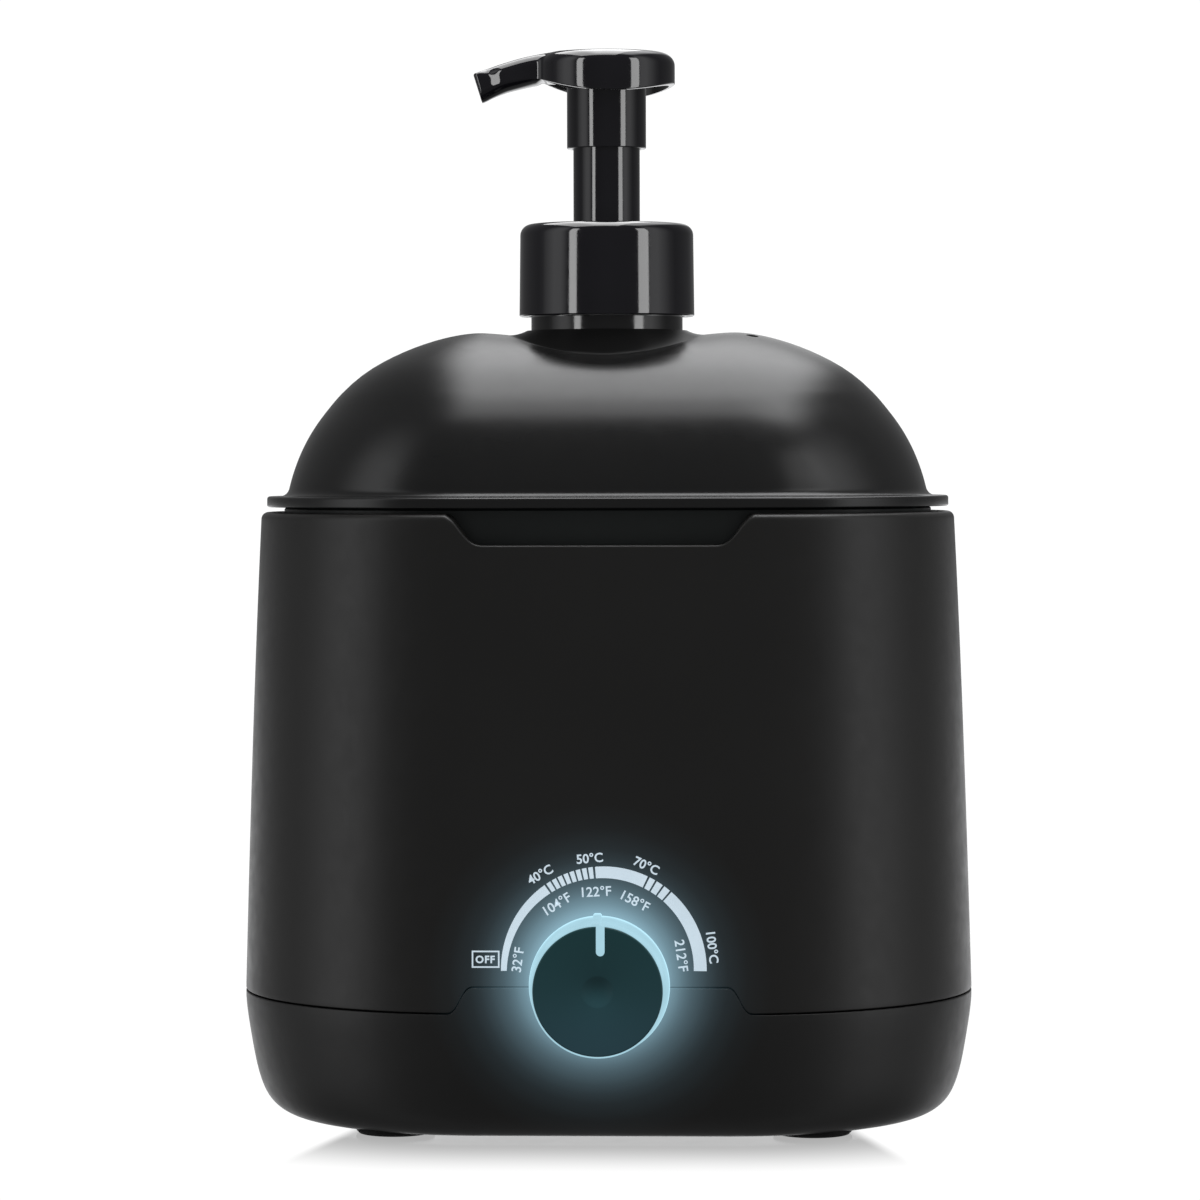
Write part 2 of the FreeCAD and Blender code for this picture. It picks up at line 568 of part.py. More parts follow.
# steam vent
lid = lid.cut(cyl(1.5, 40.0, -8.0, 205, 220))
lid = one(lid)
save("lid_shell", lid)

# ---------------------------------------------------------------------------
# Bottle
# ---------------------------------------------------------------------------
bottle = spin(profile((0, 63.4), [
    ("L", (30.0, 63.4)), ("L", (32.0, 62.2)), ("L", (36.6, 62.2)), ("A", (38.3, 62.9), (R_BOTTLE, 64.6)), ("L", (R_BOTTLE, 178.0)),
    ("S", [(38.2, 183.0), (35.5, 189.5), (31.0, 195.5), (26.0, 200.0), (22.3, 203.8), (R_NECK, 207.5)]),
    ("L", (R_NECK, Z_NECK_RING)), ("L", (20.0, Z_NECK_RING + 0.8)), ("L", (20.0, 239.2)), ("L", (19.6, 239.6)),
    ("L", (18.4, 239.6)), ("L", (18.4, 207.0)),
    ("S", [(20.3, 202.6), (24.6, 198.6), (29.6, 194.2), (33.9, 188.6), (36.5, 182.5), (37.3, 178.0)]),
    ("L", (37.3, 66.0)), ("L", (35.8, 64.9)), ("L", (0, 64.9))]))
ridge = thread_ridge(19.9, 21.2, 2.0, 0.8, 224.5)
bottle = one(bottle.fuse(ridge))
save("bottle", bottle)

# ---------------------------------------------------------------------------
# Foam pump
# ---------------------------------------------------------------------------
collar = spin(profile((21.6, Z_COLLAR), [
    ("L", (R_COLLAR - 0.25, Z_COLLAR)), ("L", (R_COLLAR, Z_COLLAR + 0.25)), ("L", (23.75, 241.9)), ("A", (22.9, 244.0), (20.8, 244.95)),
    ("L", (9.5, Z_COLLAR_TOP)), ("L", (9.3, Z_COLLAR_TOP - 0.2)), ("L", (9.3, 243.2)), ("L", (21.6, 243.2))]))
ridge = thread_ridge(21.7, 20.45, 2.0, 0.8, 222.4)
collar = one(collar.fuse(ridge))
save("pump_collar", collar)

save("pump_gasket", tube(19.8, 15.4, 0, 0, 239.6, 240.6))
cylinder = spin(poly([
    (15.2, 240.6), (19.6, 240.6), (19.6, 241.8), (14.0, 241.8), (14.0, 213.0), (4.5, 213.0), (4.5, 172.0), (2.5, 172.0),
    (2.5, 168.4), (1.6, 168.4), (1.6, 167.0), (2.6, 167.0), (2.6, 160.0), (3.9, 160.0), (3.9, 170.0), (5.9, 173.0), (5.9, 211.2),
    (13.6, 211.2), (15.2, 213.0)]))
save("air_cylinder", cylinder)
sleeve = spin(poly([(7.7, 242.0), (8.6, 241.8), (17.0, 241.8), (17.0, 243.0), (R_CHIMNEY, 243.0), (R_CHIMNEY, Z_CHIMNEY - 0.4),
                    (R_CHIMNEY - 0.4, Z_CHIMNEY), (7.7, Z_CHIMNEY)]))
save("pump_guide", sleeve)
dip = tube(2.6, 1.8, 0, 0, 66.6, 167.0)
cutter = box(-6, 6, -6, 6, 55, 66.6)
cutter.rotate(V(0, 0, 66.6), V(0, 1, 0), 30)
save("dip_tube", one(dip.cut(cutter)))

piston = spin(poly([
    (6.0, 236.0), (12.7, 236.0), (12.7, 234.6), (13.9, 233.0), (13.92, 241.0), (13.2, 241.0), (12.7, 238.0), (7.4, 238.0),
    (7.4, 287.0), (6.0, 287.0)]))
save("air_piston", piston)
rod = spin(poly([
    (2.6, 204.0), (4.42, 204.0), (4.42, 208.0), (4.1, 209.0), (4.1, 234.5), (5.98, 236.5), (5.98, 241.0), (4.6, 241.0), (2.6, 236.0)]))
save("liquid_piston", rod)

spring_r, wire = 3.75, 0.35
turns = 9
hx = Part.makeHelix((203.6 - 172.05 - 2 * wire) / turns, 203.6 - 172.05 - 2 * wire, spring_r)
hx.translate(V(0, 0, 172.05 + wire))
ring12 = [V(spring_r + wire * math.cos(math.pi * i / 6), 0, 172.05 + wire + wire * math.sin(math.pi * i / 6)) for i in range(12)]
wc = Part.makePolygon(ring12 + [ring12[0]])
spring = Part.Wire(hx.Edges).makePipeShell([wc], True, True)
save("pump_spring", spring)

ball = Part.makeSphere(2.0, V(0, 0, 169.63))
save("inlet_ball", ball)

cart = tube(5.95, 4.9, 0, 0, 262.0, 282.0)
cart = cart.fuse(tube(5.95, 4.2, 0, 0, 271.4, 272.6))
save("mesh_cartridge", one(cart))
save("foam_meshes", Part.makeCompound([cyl(4.88, 0, 0, 262.3, 262.7), cyl(4.88, 0, 0, 281.2, 281.6)]))

# head: shallow disc with an arched lower rim and a hollow underside, skirt over the chimney, nozzle to -X
disc = spin(profile((0, 290.0), [
    ("L", (R_HEAD - 1.6, 290.0)), ("L", (R_HEAD - 1.6, Z_RIM - 1)), ("L", (R_HEAD, Z_RIM - 1)), ("L", (R_HEAD, 288.3)),
    ("A", (17.75, 290.75), (14.9, 291.85)), ("S", [(10.0, 292.05), (5.0, 292.16), (0, Z_TOP)]), ("L", (0, 290.0))]))
rim = [(x, Z_RIM + 0.0098 * (x - 2.0) ** 2) for x in (-21.0, -14.0, -7.0, 2.0, 9.0, 15.0, 21.0)]
rc = Part.BSplineCurve()
rc.interpolate([V(x, 0, z) for x, z in rim])
under = front_prism([rc.toShape(), line(rim[-1], (21.0, 270.0)), line((21.0, 270.0), (-21.0, 270.0)), line((-21.0, 270.0), rim[0])], -21.0, 21.0)
disc = disc.cut(under)
skirt_h = spin(poly([(0, Z_SKIRT), (R_SKIRT - 0.3, Z_SKIRT), (R_SKIRT, Z_SKIRT + 0.3), (R_SKIRT, 291.0), (0, 291.0)]))
head = disc.fuse(skirt_h)


def beak(x, half_w, z0, z1, r):
    """Rounded rectangle across the nozzle at x."""
    h = z1 - z0
    r = min(r, half_w * 0.95, h * 0.48)
    y0, y1 = -half_w, half_w
    k = r * (1 - math.sqrt(0.5))
    e = [Part.LineSegment(V(x, y0 + r, z0), V(x, y1 - r, z0)).toShape(),
         Part.Arc(V(x, y1 - r, z0), V(x, y1 - k, z0 + k), V(x, y1, z0 + r)).toShape(),
         Part.LineSegment(V(x, y1, z0 + r), V(x, y1, z1 - r)).toShape(),
         Part.Arc(V(x, y1, z1 - r), V(x, y1 - k, z1 - k), V(x, y1 - r, z1)).toShape(),
         Part.LineSegment(V(x, y1 - r, z1), V(x, y0 + r, z1)).toShape(),
         Part.Arc(V(x, y0 + r, z1), V(x, y0 + k, z1 - k), V(x, y0, z1 - r)).toShape(),
         Part.LineSegment(V(x, y0, z1 - r), V(x, y0, z0 + r)).toShape(),
         Part.Arc(V(x, y0, z0 + r), V(x, y0 + k, z0 + k), V(x, y0 + r, z0)).toShape()]
    return Part.Wire(e)


nozzle = Part.makeLoft([beak(-8.0, 7.2, 284.3, 291.7, 3.0), beak(-14.0, 6.9, 283.75, 291.8, 3.1), beak(-19.0, 6.4, 283.05, 291.2, 3.1),
                        beak(-24.0, 5.9, 281.9, 290.15, 3.1), beak(-29.0, 5.4, 280.35, 288.65, 3.1), beak(-34.0, 4.95, 278.2, 287.0, 3.1),
                        beak(-38.0, 4.6, 276.4, 285.5, 3.1)], True, False)
# the end face leans with the droop of the nozzle
tip = front_prism([line((-36.6, 286.5), (-33.9, 277.8)), line((-33.9, 277.8), (-33.5, 274.0)), line((-33.5, 274.0), (-41.0, 274.0)),
                   line((-41.0, 274.0), (-41.0, 290.0)), line((-41.0, 290.0), (-37.7, 290.0)), line((-37.7, 290.0), (-36.6, 286.5))], -10.0, 10.0)
head = head.fuse(nozzle.cut(tip))
head = head.cut(tube(9.4, 7.4, 0, 0, 260, 284.0))
head = head.cut(cyl(7.4, 0, 0, 260, 287.0)).cut(cyl(5.2, 0, 0, 286, 290.0))
channel = Part.makeCylinder(1.6, 42, V(0, 0, 289.0), V(-1, 0, -0.186))
head = head.cut(channel)
head = one(head)
save("pump_head", head)
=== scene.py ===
import json
import math
import bpy
import bmesh
import numpy as np
from mathutils import Vector, Matrix

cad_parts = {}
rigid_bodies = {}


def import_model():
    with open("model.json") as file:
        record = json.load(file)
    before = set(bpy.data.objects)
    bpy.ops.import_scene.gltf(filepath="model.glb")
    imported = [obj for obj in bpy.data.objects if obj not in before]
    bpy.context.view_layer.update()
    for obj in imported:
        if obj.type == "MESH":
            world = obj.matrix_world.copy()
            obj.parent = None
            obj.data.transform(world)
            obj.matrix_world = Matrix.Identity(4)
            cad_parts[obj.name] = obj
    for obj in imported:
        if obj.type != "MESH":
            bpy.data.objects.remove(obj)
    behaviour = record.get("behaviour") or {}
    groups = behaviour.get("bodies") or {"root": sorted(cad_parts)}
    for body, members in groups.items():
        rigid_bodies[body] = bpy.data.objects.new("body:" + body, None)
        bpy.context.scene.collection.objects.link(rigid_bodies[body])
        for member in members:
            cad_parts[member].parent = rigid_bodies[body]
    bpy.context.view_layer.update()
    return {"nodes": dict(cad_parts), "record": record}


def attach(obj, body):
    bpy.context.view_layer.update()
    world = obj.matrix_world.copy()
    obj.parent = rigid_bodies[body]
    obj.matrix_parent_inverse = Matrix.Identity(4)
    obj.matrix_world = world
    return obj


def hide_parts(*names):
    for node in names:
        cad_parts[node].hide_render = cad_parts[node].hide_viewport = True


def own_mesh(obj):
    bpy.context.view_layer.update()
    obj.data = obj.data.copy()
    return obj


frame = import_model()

MM = 0.001
DY = 7.475            # the bottle axis stands at Y = DY in the row frame
XC = 33.0             # end centres of the stadium plan
Z_DIAL = 42.8
nodes = frame["nodes"]


# ---------------------------------------------------------------------------
# camera first
# ---------------------------------------------------------------------------
def pt(x, y, z):
    return Vector((x * MM, (y + DY) * MM, z * MM))


cam_data = bpy.data.cameras.new("camera")
cam = bpy.data.objects.new("camera", cam_data)
bpy.context.scene.collection.objects.link(cam)
cam_data.sensor_width = 36.0
cam_data.lens = 139.4
cam_data.clip_start = 0.05
cam_data.clip_end = 60.0
cam.location = pt(45.0, -1279.0, 181.6)
cam.rotation_mode = "QUATERNION"
aim = (pt(-2.1, 0.0, 141.7) - cam.location).to_track_quat("-Z", "Y")
roll = Matrix.Rotation(math.radians(-0.137), 3, "Z").to_quaternion()
cam.rotation_quaternion = aim @ roll
bpy.context.scene.camera = cam


# ---------------------------------------------------------------------------
# mesh helpers: points in millimetres about the bottle axis
# ---------------------------------------------------------------------------
def link(name, me, body, slot=None, mat=None, replaces=(), sharp=30.0, recalc=True):
    bm = bmesh.new()
    bm.from_mesh(me)
    if recalc:
        bmesh.ops.recalc_face_normals(bm, faces=bm.faces)
    bm.to_mesh(me)
    bm.free()
    me.polygons.foreach_set("use_smooth", [True] * len(me.polygons))
    if sharp is not None:
        me.set_sharp_from_angle(angle=math.radians(sharp))
    me.update()
    ob = bpy.data.objects.new(name, me)
    bpy.context.scene.collection.objects.link(ob)
    if mat is not None:
        me.materials.clear()
        me.materials.append(mat)
    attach(ob, body)
    if replaces:
        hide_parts(*replaces)
    return ob


def mesh_of(name, verts, faces):
    me = bpy.data.meshes.new(name)
    v = np.asarray(verts, float).reshape(-1, 3).copy()
    v[:, 1] += DY
    me.from_pydata((v * MM).tolist(), [], faces)
    me.validate()
    return me


def grid_faces(rows, cols, wrap_rows=False, wrap_cols=True, base=0):
    faces = []
    for i in range(rows if wrap_rows else rows - 1):
        a = base + i * cols
        b = base + ((i + 1) % rows) * cols
        for j in range(cols if wrap_cols else cols - 1):
            k = (j + 1) % cols
            faces.append((a + j, a + k, b + k, b + j))
    return faces


def rounded(points, closed=True, step=8.0):
    """Profile from (r, z, fillet) corners; every fillet is an arc."""
    pts = [(p[0], p[1], p[2] if len(p) > 2 else 0.0) for p in points]
    n = len(pts)
    out = []
    for i, (x, z, f) in enumerate(pts):
        if f <= 0 or (not closed and i in (0, n - 1)):
            out.append((x, z))
            continue
        px, pz, _ = pts[i - 1]
        nx, nz, _ = pts[(i + 1) % n]
        u = np.array([px - x, pz - z]); lu = np.linalg.norm(u); u /= lu
        w = np.array([nx - x, nz - z]); lw = np.linalg.norm(w); w /= lw
        ang = math.acos(max(-1.0, min(1.0, float(u @ w))))
        turn = math.pi - ang
        if turn < 0.02:
            out.append((x, z))
            continue
        back = f / math.tan(ang / 2)
        back = min(back, 0.49 * lu, 0.49 * lw)
        f = back * math.tan(ang / 2)
        c = np.array([x, z]) + (u + w) / np.linalg.norm(u + w) * (f / math.sin(ang / 2))
        p0 = np.array([x, z]) + u * back
        p1 = np.array([x, z]) + w * back
        a0 = math.atan2(*(p0 - c)[::-1])
        a1 = math.atan2(*(p1 - c)[::-1])
        d = (a1 - a0 + math.pi) % (2 * math.pi) - math.pi
        k = max(2, int(math.ceil(abs(math.degrees(d)) / step)))
        for t in range(k + 1):
            a = a0 + d * t / k
            out.append((c[0] + f * math.cos(a), c[1] + f * math.sin(a)))
    return out


def lathe(name, prof, seg=128, axis="z", centre=(0.0, 0.0, 0.0), closed=True, **kw):
    """Turned piece. prof: (r, z) points; points on the axis become poles. axis 'y' turns about the knob axis and reads (r, y)."""
    verts, faces, rings = [], [], []
    for r, h in prof:
        if r < 1e-6:
            rings.append([len(verts)])
            verts.append((0.0, 0.0, h))
        else:
            start = len(verts)
            for j in range(seg):
                a = 2 * math.pi * j / seg
                verts.append((r * math.cos(a), r * math.sin(a), h))
            rings.append(list(range(start, start + seg)))
    pairs = list(zip(rings, rings[1:] + ([rings[0]] if closed else [])))
    if not closed:
        pairs = pairs[:-1] if len(pairs) > len(rings) - 1 else pairs
    for a, b in pairs:
        if len(a) == 1 and len(b) == 1:
            continue
        for j in range(seg):
            k = (j + 1) % seg
            if len(a) == 1:
                faces.append((a[0], b[k], b[j]))
            elif len(b) == 1:
                faces.append((a[j], a[k], b[0]))
            else:
                faces.append((a[j], a[k], b[k], b[j]))
    v = np.array(verts, float)
    if axis == "y":
        v = np.stack([v[:, 0], v[:, 2], v[:, 1]], 1)
    v += np.array(centre)
    me = mesh_of(name, v, faces)
    return link(name, me, **kw)


# ---------------------------------------------------------------------------
# plan of the housing: columns round a stadium
# ---------------------------------------------------------------------------
def stadium_columns():
    cx, ang = [], []
    for x in np.linspace(-XC, XC, 89)[:-1]:
        cx.append(x); ang.append(-90.0)
    a = list(np.arange(-90.0, -66.0, 0.6)) + list(np.arange(-66.0, 66.0, 1.5)) + list(np.arange(66.0, 90.0, 1.2))
    for v in a:
        cx.append(XC); ang.append(v)
    for x in np.linspace(XC, -XC, 45)[:-1]:
        cx.append(x); ang.append(90.0)
    for v in a[::-1]:
        cx.append(-XC); ang.append(-v + 0.0 if False else 180.0 - v)
    return np.array(cx), np.radians(np.array(ang))


COL_X, COL_A = stadium_columns()
COL_NX, COL_NY = np.cos(COL_A), np.sin(COL_A)
NC = len(COL_X)


def stad(r):
    """x, y of every column at distance r (number or one per column)."""
    return COL_X + r * COL_NX, r * COL_NY


def s_table(x0, z0, x1, z1):
    t = np.linspace(0, 1, 200)
    xm = (x0 + x1) / 2
    x = x0 * (1 - t) ** 3 + 3 * xm * (1 - t) ** 2 * t + 3 * xm * (1 - t) * t ** 2 + x1 * t ** 3
    z = z0 * ((1 - t) ** 3 + 3 * (1 - t) ** 2 * t) + z1 * (3 * (1 - t) * t ** 2 + t ** 3)
    return x, z


Z_BODY_TOP, Z_NOTCH, Z_SEAM, Z_TAB = 166.2, 158.0, 35.2, 42.2


def z_top(x, y):
    """Top edge of the body: level, with the lift notch in front."""
    ax = np.abs(x)
    sx, sz = s_table(42.9, Z_BODY_TOP + 0.4, 30.6, Z_NOTCH)
    z = np.interp(ax, sx[::-1], sz[::-1], left=Z_NOTCH, right=Z_BODY_TOP + 0.4)
    z = np.minimum(z, Z_BODY_TOP)
    return np.where(y < -40, z, Z_BODY_TOP)


def z_seam(x, y, dz):
    """Seam between base and body: level, with the raised tab in front."""
    ax = np.abs(x)
    sx, sz = s_table(40.2, Z_SEAM + dz, 33.3, Z_TAB + dz)
    z = np.interp(ax, sx[::-1], sz[::-1], left=Z_TAB + dz, right=Z_SEAM + dz)
    return np.where(y < -40, z, Z_SEAM + dz)


def smooth_table(rz, n=400):
    """Dense smooth curve through (r, z) points: a natural cubic in z."""
    z, r = rz[:, 1], rz[:, 0]
    m = len(z)
    h = np.diff(z)
    A = np.zeros((m, m)); b = np.zeros(m)
    A[0, 0] = A[-1, -1] = 1
    for i in range(1, m - 1):
        A[i, i - 1], A[i, i], A[i, i + 1] = h[i - 1], 2 * (h[i - 1] + h[i]), h[i]
        b[i] = 3 * ((r[i + 1] - r[i]) / h[i] - (r[i] - r[i - 1]) / h[i - 1])
    c = np.linalg.solve(A, b)
    zz = np.linspace(z[0], z[-1], n)
    k = np.clip(np.searchsorted(z, zz, side="right") - 1, 0, m - 2)
    d = zz - z[k]
    bb = (r[k + 1] - r[k]) / h[k] - h[k] * (2 * c[k] + c[k + 1]) / 3
    dd = (c[k + 1] - c[k]) / (3 * h[k])
    return zz, r[k] + bb * d + c[k] * d * d + dd * d ** 3


def body_r(z):
    """Outer side of the body: widest at the seam, then a long, slightly bellied taper."""
    t = np.asarray(z, float) - 100.0
    return np.minimum(64.9792 - 0.03563 * t - 8.56e-5 * t ** 2 - 3.364e-7 * t ** 3, 66.98)


def base_r(z):
    """Outer side of the base, with the front tab above the seam on the body's line."""
    z = np.asarray(z, float)
    t = z - 20.0
    low = 65.1722 + 0.173073 * t - 2.02538e-3 * t ** 2 + 2.14056e-4 * t ** 3 - 2.04622e-5 * t ** 4
    return np.where(z < 35.2, np.minimum(low, 66.98), body_r(z))


# ---------------------------------------------------------------------------
# materials
# ---------------------------------------------------------------------------
class Mat:
    """Small helper for a node material; coordinates are the object's own, in metres."""

    def __init__(self, name):
        self.m = bpy.data.materials.new(name)
        self.m.use_nodes = True
        self.nt = self.m.node_tree
        self.b = next(n for n in self.nt.nodes if n.type == "BSDF_PRINCIPLED")
        self.tc = self.nt.nodes.new("ShaderNodeTexCoord")

    def node(self, kind, **props):
        n = self.nt.nodes.new(kind)
        for k, v in props.items():
            setattr(n, k, v)
        return n

    def link(self, a, b):
        self.nt.links.new(a, b)

    def noise(self, scale, detail=2.0, rough=0.5, stretch=None, distortion=0.0):
        n = self.node("ShaderNodeTexNoise")
        n.inputs["Scale"].default_value = scale
        n.inputs["Detail"].default_value = detail
        n.inputs["Roughness"].default_value = rough
        n.inputs["Distortion"].default_value = distortion
        if stretch:
            mp = self.node("ShaderNodeMapping")
            mp.inputs["Scale"].default_value = stretch
            self.link(self.tc.outputs["Object"], mp.inputs["Vector"])
            self.link(mp.outputs["Vector"], n.inputs["Vector"])
        else:
            self.link(self.tc.outputs["Object"], n.inputs["Vector"])
        return n.outputs["Fac"]

    def ramp(self, fac, stops, interpolation="LINEAR"):
        r = self.node("ShaderNodeValToRGB")
        r.color_ramp.interpolation = interpolation
        e = r.color_ramp.elements
        while len(e) < len(stops):
            e.new(0.5)
        for i, (p, c) in enumerate(stops):
            e[i].position = p
            e[i].color = (*c, 1.0) if len(c) == 3 else c
        self.link(fac, r.inputs["Fac"])
        return r.outputs["Color"]

    def range(self, fac, a0, a1, b0, b1):
        r = self.node("ShaderNodeMapRange")
        for k, v in zip(("From Min", "From Max", "To Min", "To Max"), (a0, a1, b0, b1)):
            r.inputs[k].default_value = v
        self.link(fac, r.inputs["Value"])
        return r.outputs["Result"]

    def bump(self, height, strength, distance, normal=None):
        b = self.node("ShaderNodeBump")
        b.inputs["Strength"].default_value = strength
        b.inputs["Distance"].default_value = distance
        self.link(height, b.inputs["Height"])
        if normal is not None:
            self.link(normal, b.inputs["Normal"])
        return b.outputs["Normal"]

    def set(self, **kw):
        for k, v in kw.items():
            self.b.inputs[k.replace("_", " ")].default_value = v


def plastic(name, dark, light, rough, rough_var=0.05, grain=2600.0, grain_h=0.0, cloud=28.0, ior=1.5, coat=0.0,
            spec=0.5, transmission=0.0, wave=0.0):
    """Moulded plastic: slow colour drift, uneven gloss, fine texture of the tool."""
    m = Mat(name)
    m.link(m.ramp(m.noise(cloud, 3.0), [(0.3, dark), (0.7, light)]), m.b.inputs["Base Color"])
    m.link(m.range(m.noise(cloud * 9, 4.0, 0.6), 0.3, 0.7, rough - rough_var, rough + rough_var), m.b.inputs["Roughness"])
    n = None
    if wave:
        n = m.bump(m.noise(45.0, 1.0), 1.0, wave)
    if grain_h:
        n = m.bump(m.noise(grain, 2.0, 0.6), 1.0, grain_h, n)
    if n is not None:
        m.link(n, m.b.inputs["Normal"])
    m.set(IOR=ior, Specular_IOR_Level=spec)
    if coat:
        m.set(Coat_Weight=coat, Coat_Roughness=0.05)
    if transmission:
        m.set(Transmission_Weight=transmission)
    return m


def glow_over(m, plain_rough=None):
    """Adds the lit ring's halo to a housing material as painted glow: emission in the plastic's face that fades away
    from the knob axis.
    """
    sep = m.node("ShaderNodeVectorMath", operation="SUBTRACT")
    m.link(m.tc.outputs["Object"], sep.inputs[0])
    sep.inputs[1].default_value = (-0.3 * MM, (-66.8 + DY) * MM, (Z_DIAL + 2.0) * MM)
    ln = m.node("ShaderNodeVectorMath", operation="LENGTH")
    m.link(sep.outputs["Vector"], ln.inputs[0])
    d = m.range(ln.outputs["Value"], 0.017, 0.0455, 0.0, 1.0)
    fade = [(0.0, 0.46), (0.046, 0.385), (0.091, 0.312), (0.137, 0.258), (0.182, 0.200), (0.228, 0.156), (0.274, 0.122), (0.319, 0.098), (0.41, 0.057),
            (0.50, 0.031), (0.593, 0.0160), (0.78, 0.0042), (1.0, 0.0)]
    col = m.ramp(d, [(p_, (0.48 * v_, 0.82 * v_, v_)) for p_, v_ in fade])
    m.link(col, m.b.inputs["Emission Color"])
    m.set(Emission_Strength=1.0)
    return m


# housing and base carry the painted glow of the lit ring's halo round the knob
M_BODY = glow_over(plastic("housing_black", (0.0196, 0.0190, 0.0181), (0.0230, 0.0223, 0.0213), 0.36, 0.035, 2400.0, 0.000010, 22.0)).m
M_BASE = glow_over(plastic("base_black", (0.0168, 0.0166, 0.0161), (0.0198, 0.0196, 0.0190), 0.40, 0.035, 2200.0, 0.000012, 22.0)).m


def boss_painted_shade(m, lo, hi, least):
    """Painted shade on the boss around the neck: lowers its specular level, fully inside lo (m), back to normal at hi,
    standing in for the shade under the collar.
    """
    off = m.node("ShaderNodeVectorMath", operation="SUBTRACT")
    m.link(m.tc.outputs["Object"], off.inputs[0])
    off.inputs[1].default_value = (0.0, DY * MM, 0.0)
    flat = m.node("ShaderNodeVectorMath", operation="MULTIPLY")
    m.link(off.outputs["Vector"], flat.inputs[0])
    flat.inputs[1].default_value = (1.0, 0.86, 0.0)
    ln = m.node("ShaderNodeVectorMath", operation="LENGTH")
    m.link(flat.outputs["Vector"], ln.inputs[0])
    m.link(m.range(ln.outputs["Value"], lo, hi, 0.5 * least, 0.5), m.b.inputs["Specular IOR Level"])
    return m


# lid: painted shade round the neck boss, by a lower specular level
M_LID = boss_painted_shade(plastic("lid_black", (0.0135, 0.0135, 0.0135), (0.0160, 0.0160, 0.0160), 0.24, 0.02, 2600.0, 0.000007, 24.0), 0.0262, 0.0292, 0.10).m
M_PUMP = plastic("pump_black", (0.0036, 0.0034, 0.0048), (0.0050, 0.0047, 0.0064), 0.075, 0.02, 900.0, 0.0, 40.0, wave=0.00003).m
M_BOTTLE = plastic("bottle_black", (0.0045, 0.0045, 0.0048), (0.0060, 0.0060, 0.0063), 0.12, 0.03, 1600.0, 0.000002, 40.0).m
M_TANK = plastic("tank_grey", (0.0180, 0.0225, 0.0215), (0.0245, 0.0300, 0.0290), 0.42, 0.05, 1800.0, 0.000010, 25.0).m
M_RUBBER = plastic("foot_rubber", (0.0075, 0.0075, 0.0075), (0.013, 0.013, 0.013), 0.78, 0.08, 3000.0, 0.00002, 60.0, spec=0.3).m
M_SEAL = plastic("seal_silicone", (0.55, 0.50, 0.46), (0.66, 0.62, 0.58), 0.55, 0.08, 1500.0, 0.00001, 50.0).m


def metal(name, dark, light, rough, brush=None, rough_var=0.07):
    m = Mat(name)
    m.link(m.ramp(m.noise(60.0, 4.0), [(0.3, dark), (0.7, light)]), m.b.inputs["Base Color"])
    m.link(m.range(m.noise(500.0, 3.0, stretch=brush), 0.3, 0.7, rough - rough_var, rough + rough_var), m.b.inputs["Roughness"])
    m.link(m.bump(m.noise(900.0, 2.0, stretch=brush), 0.7, 0.00001), m.b.inputs["Normal"])
    m.set(Metallic=1.0)
    return m


M_ALU = metal("heater_aluminium", (0.60, 0.61, 0.62), (0.74, 0.75, 0.76), 0.38, (1, 8, 1)).m
M_STEEL = metal("zinc_steel", (0.52, 0.53, 0.54), (0.66, 0.66, 0.67), 0.30).m
M_SPRING = metal("spring_steel", (0.42, 0.43, 0.45), (0.55, 0.56, 0.58), 0.25).m
M_ELEMENT = metal("element_steel", (0.25, 0.24, 0.23), (0.38, 0.36, 0.33), 0.45).m
M_BRASS = metal("brass", (0.62, 0.46, 0.20), (0.75, 0.58, 0.28), 0.28).m
M_PCB = plastic("pcb_green", (0.010, 0.060, 0.022), (0.016, 0.085, 0.032), 0.35, 0.06, 800.0, 0.00002, 90.0).m
M_RELAY = plastic("relay_blue", (0.015, 0.045, 0.20), (0.020, 0.060, 0.26), 0.35, 0.05, 1500.0, 0.00001, 60.0).m
M_CORE = metal("transformer_laminations", (0.16, 0.15, 0.14), (0.26, 0.25, 0.24), 0.5, (1, 1, 22)).m
M_CAPA = plastic("capacitor_yellow", (0.62, 0.42, 0.04), (0.72, 0.50, 0.07), 0.40, 0.06, 1200.0, 0.00001, 60.0).m
M_TERM = plastic("terminal_green", (0.02, 0.24, 0.08), (0.03, 0.30, 0.11), 0.42, 0.05, 1500.0, 0.00001, 60.0).m
M_FUSE = plastic("fuse_ceramic", (0.70, 0.69, 0.66), (0.80, 0.79, 0.76), 0.5, 0.08, 1800.0, 0.00002, 70.0).m
M_LEAD = plastic("lead_insulation", (0.55, 0.56, 0.57), (0.66, 0.67, 0.68), 0.5, 0.08, 1500.0, 0.00001, 80.0).m
M_CONTROL = plastic("control_grey", (0.10, 0.105, 0.11), (0.15, 0.155, 0.16), 0.45, 0.06, 1500.0, 0.00001, 60.0).m
M_NATURAL = plastic("pump_natural", (0.72, 0.73, 0.72), (0.82, 0.83, 0.82), 0.40, 0.06, 1500.0, 0.00001, 50.0, transmission=0.25).m
M_TUBE = plastic("tube_clear", (0.80, 0.82, 0.82), (0.88, 0.90, 0.90), 0.18, 0.05, 1500.0, 0.0, 50.0, transmission=0.6).m


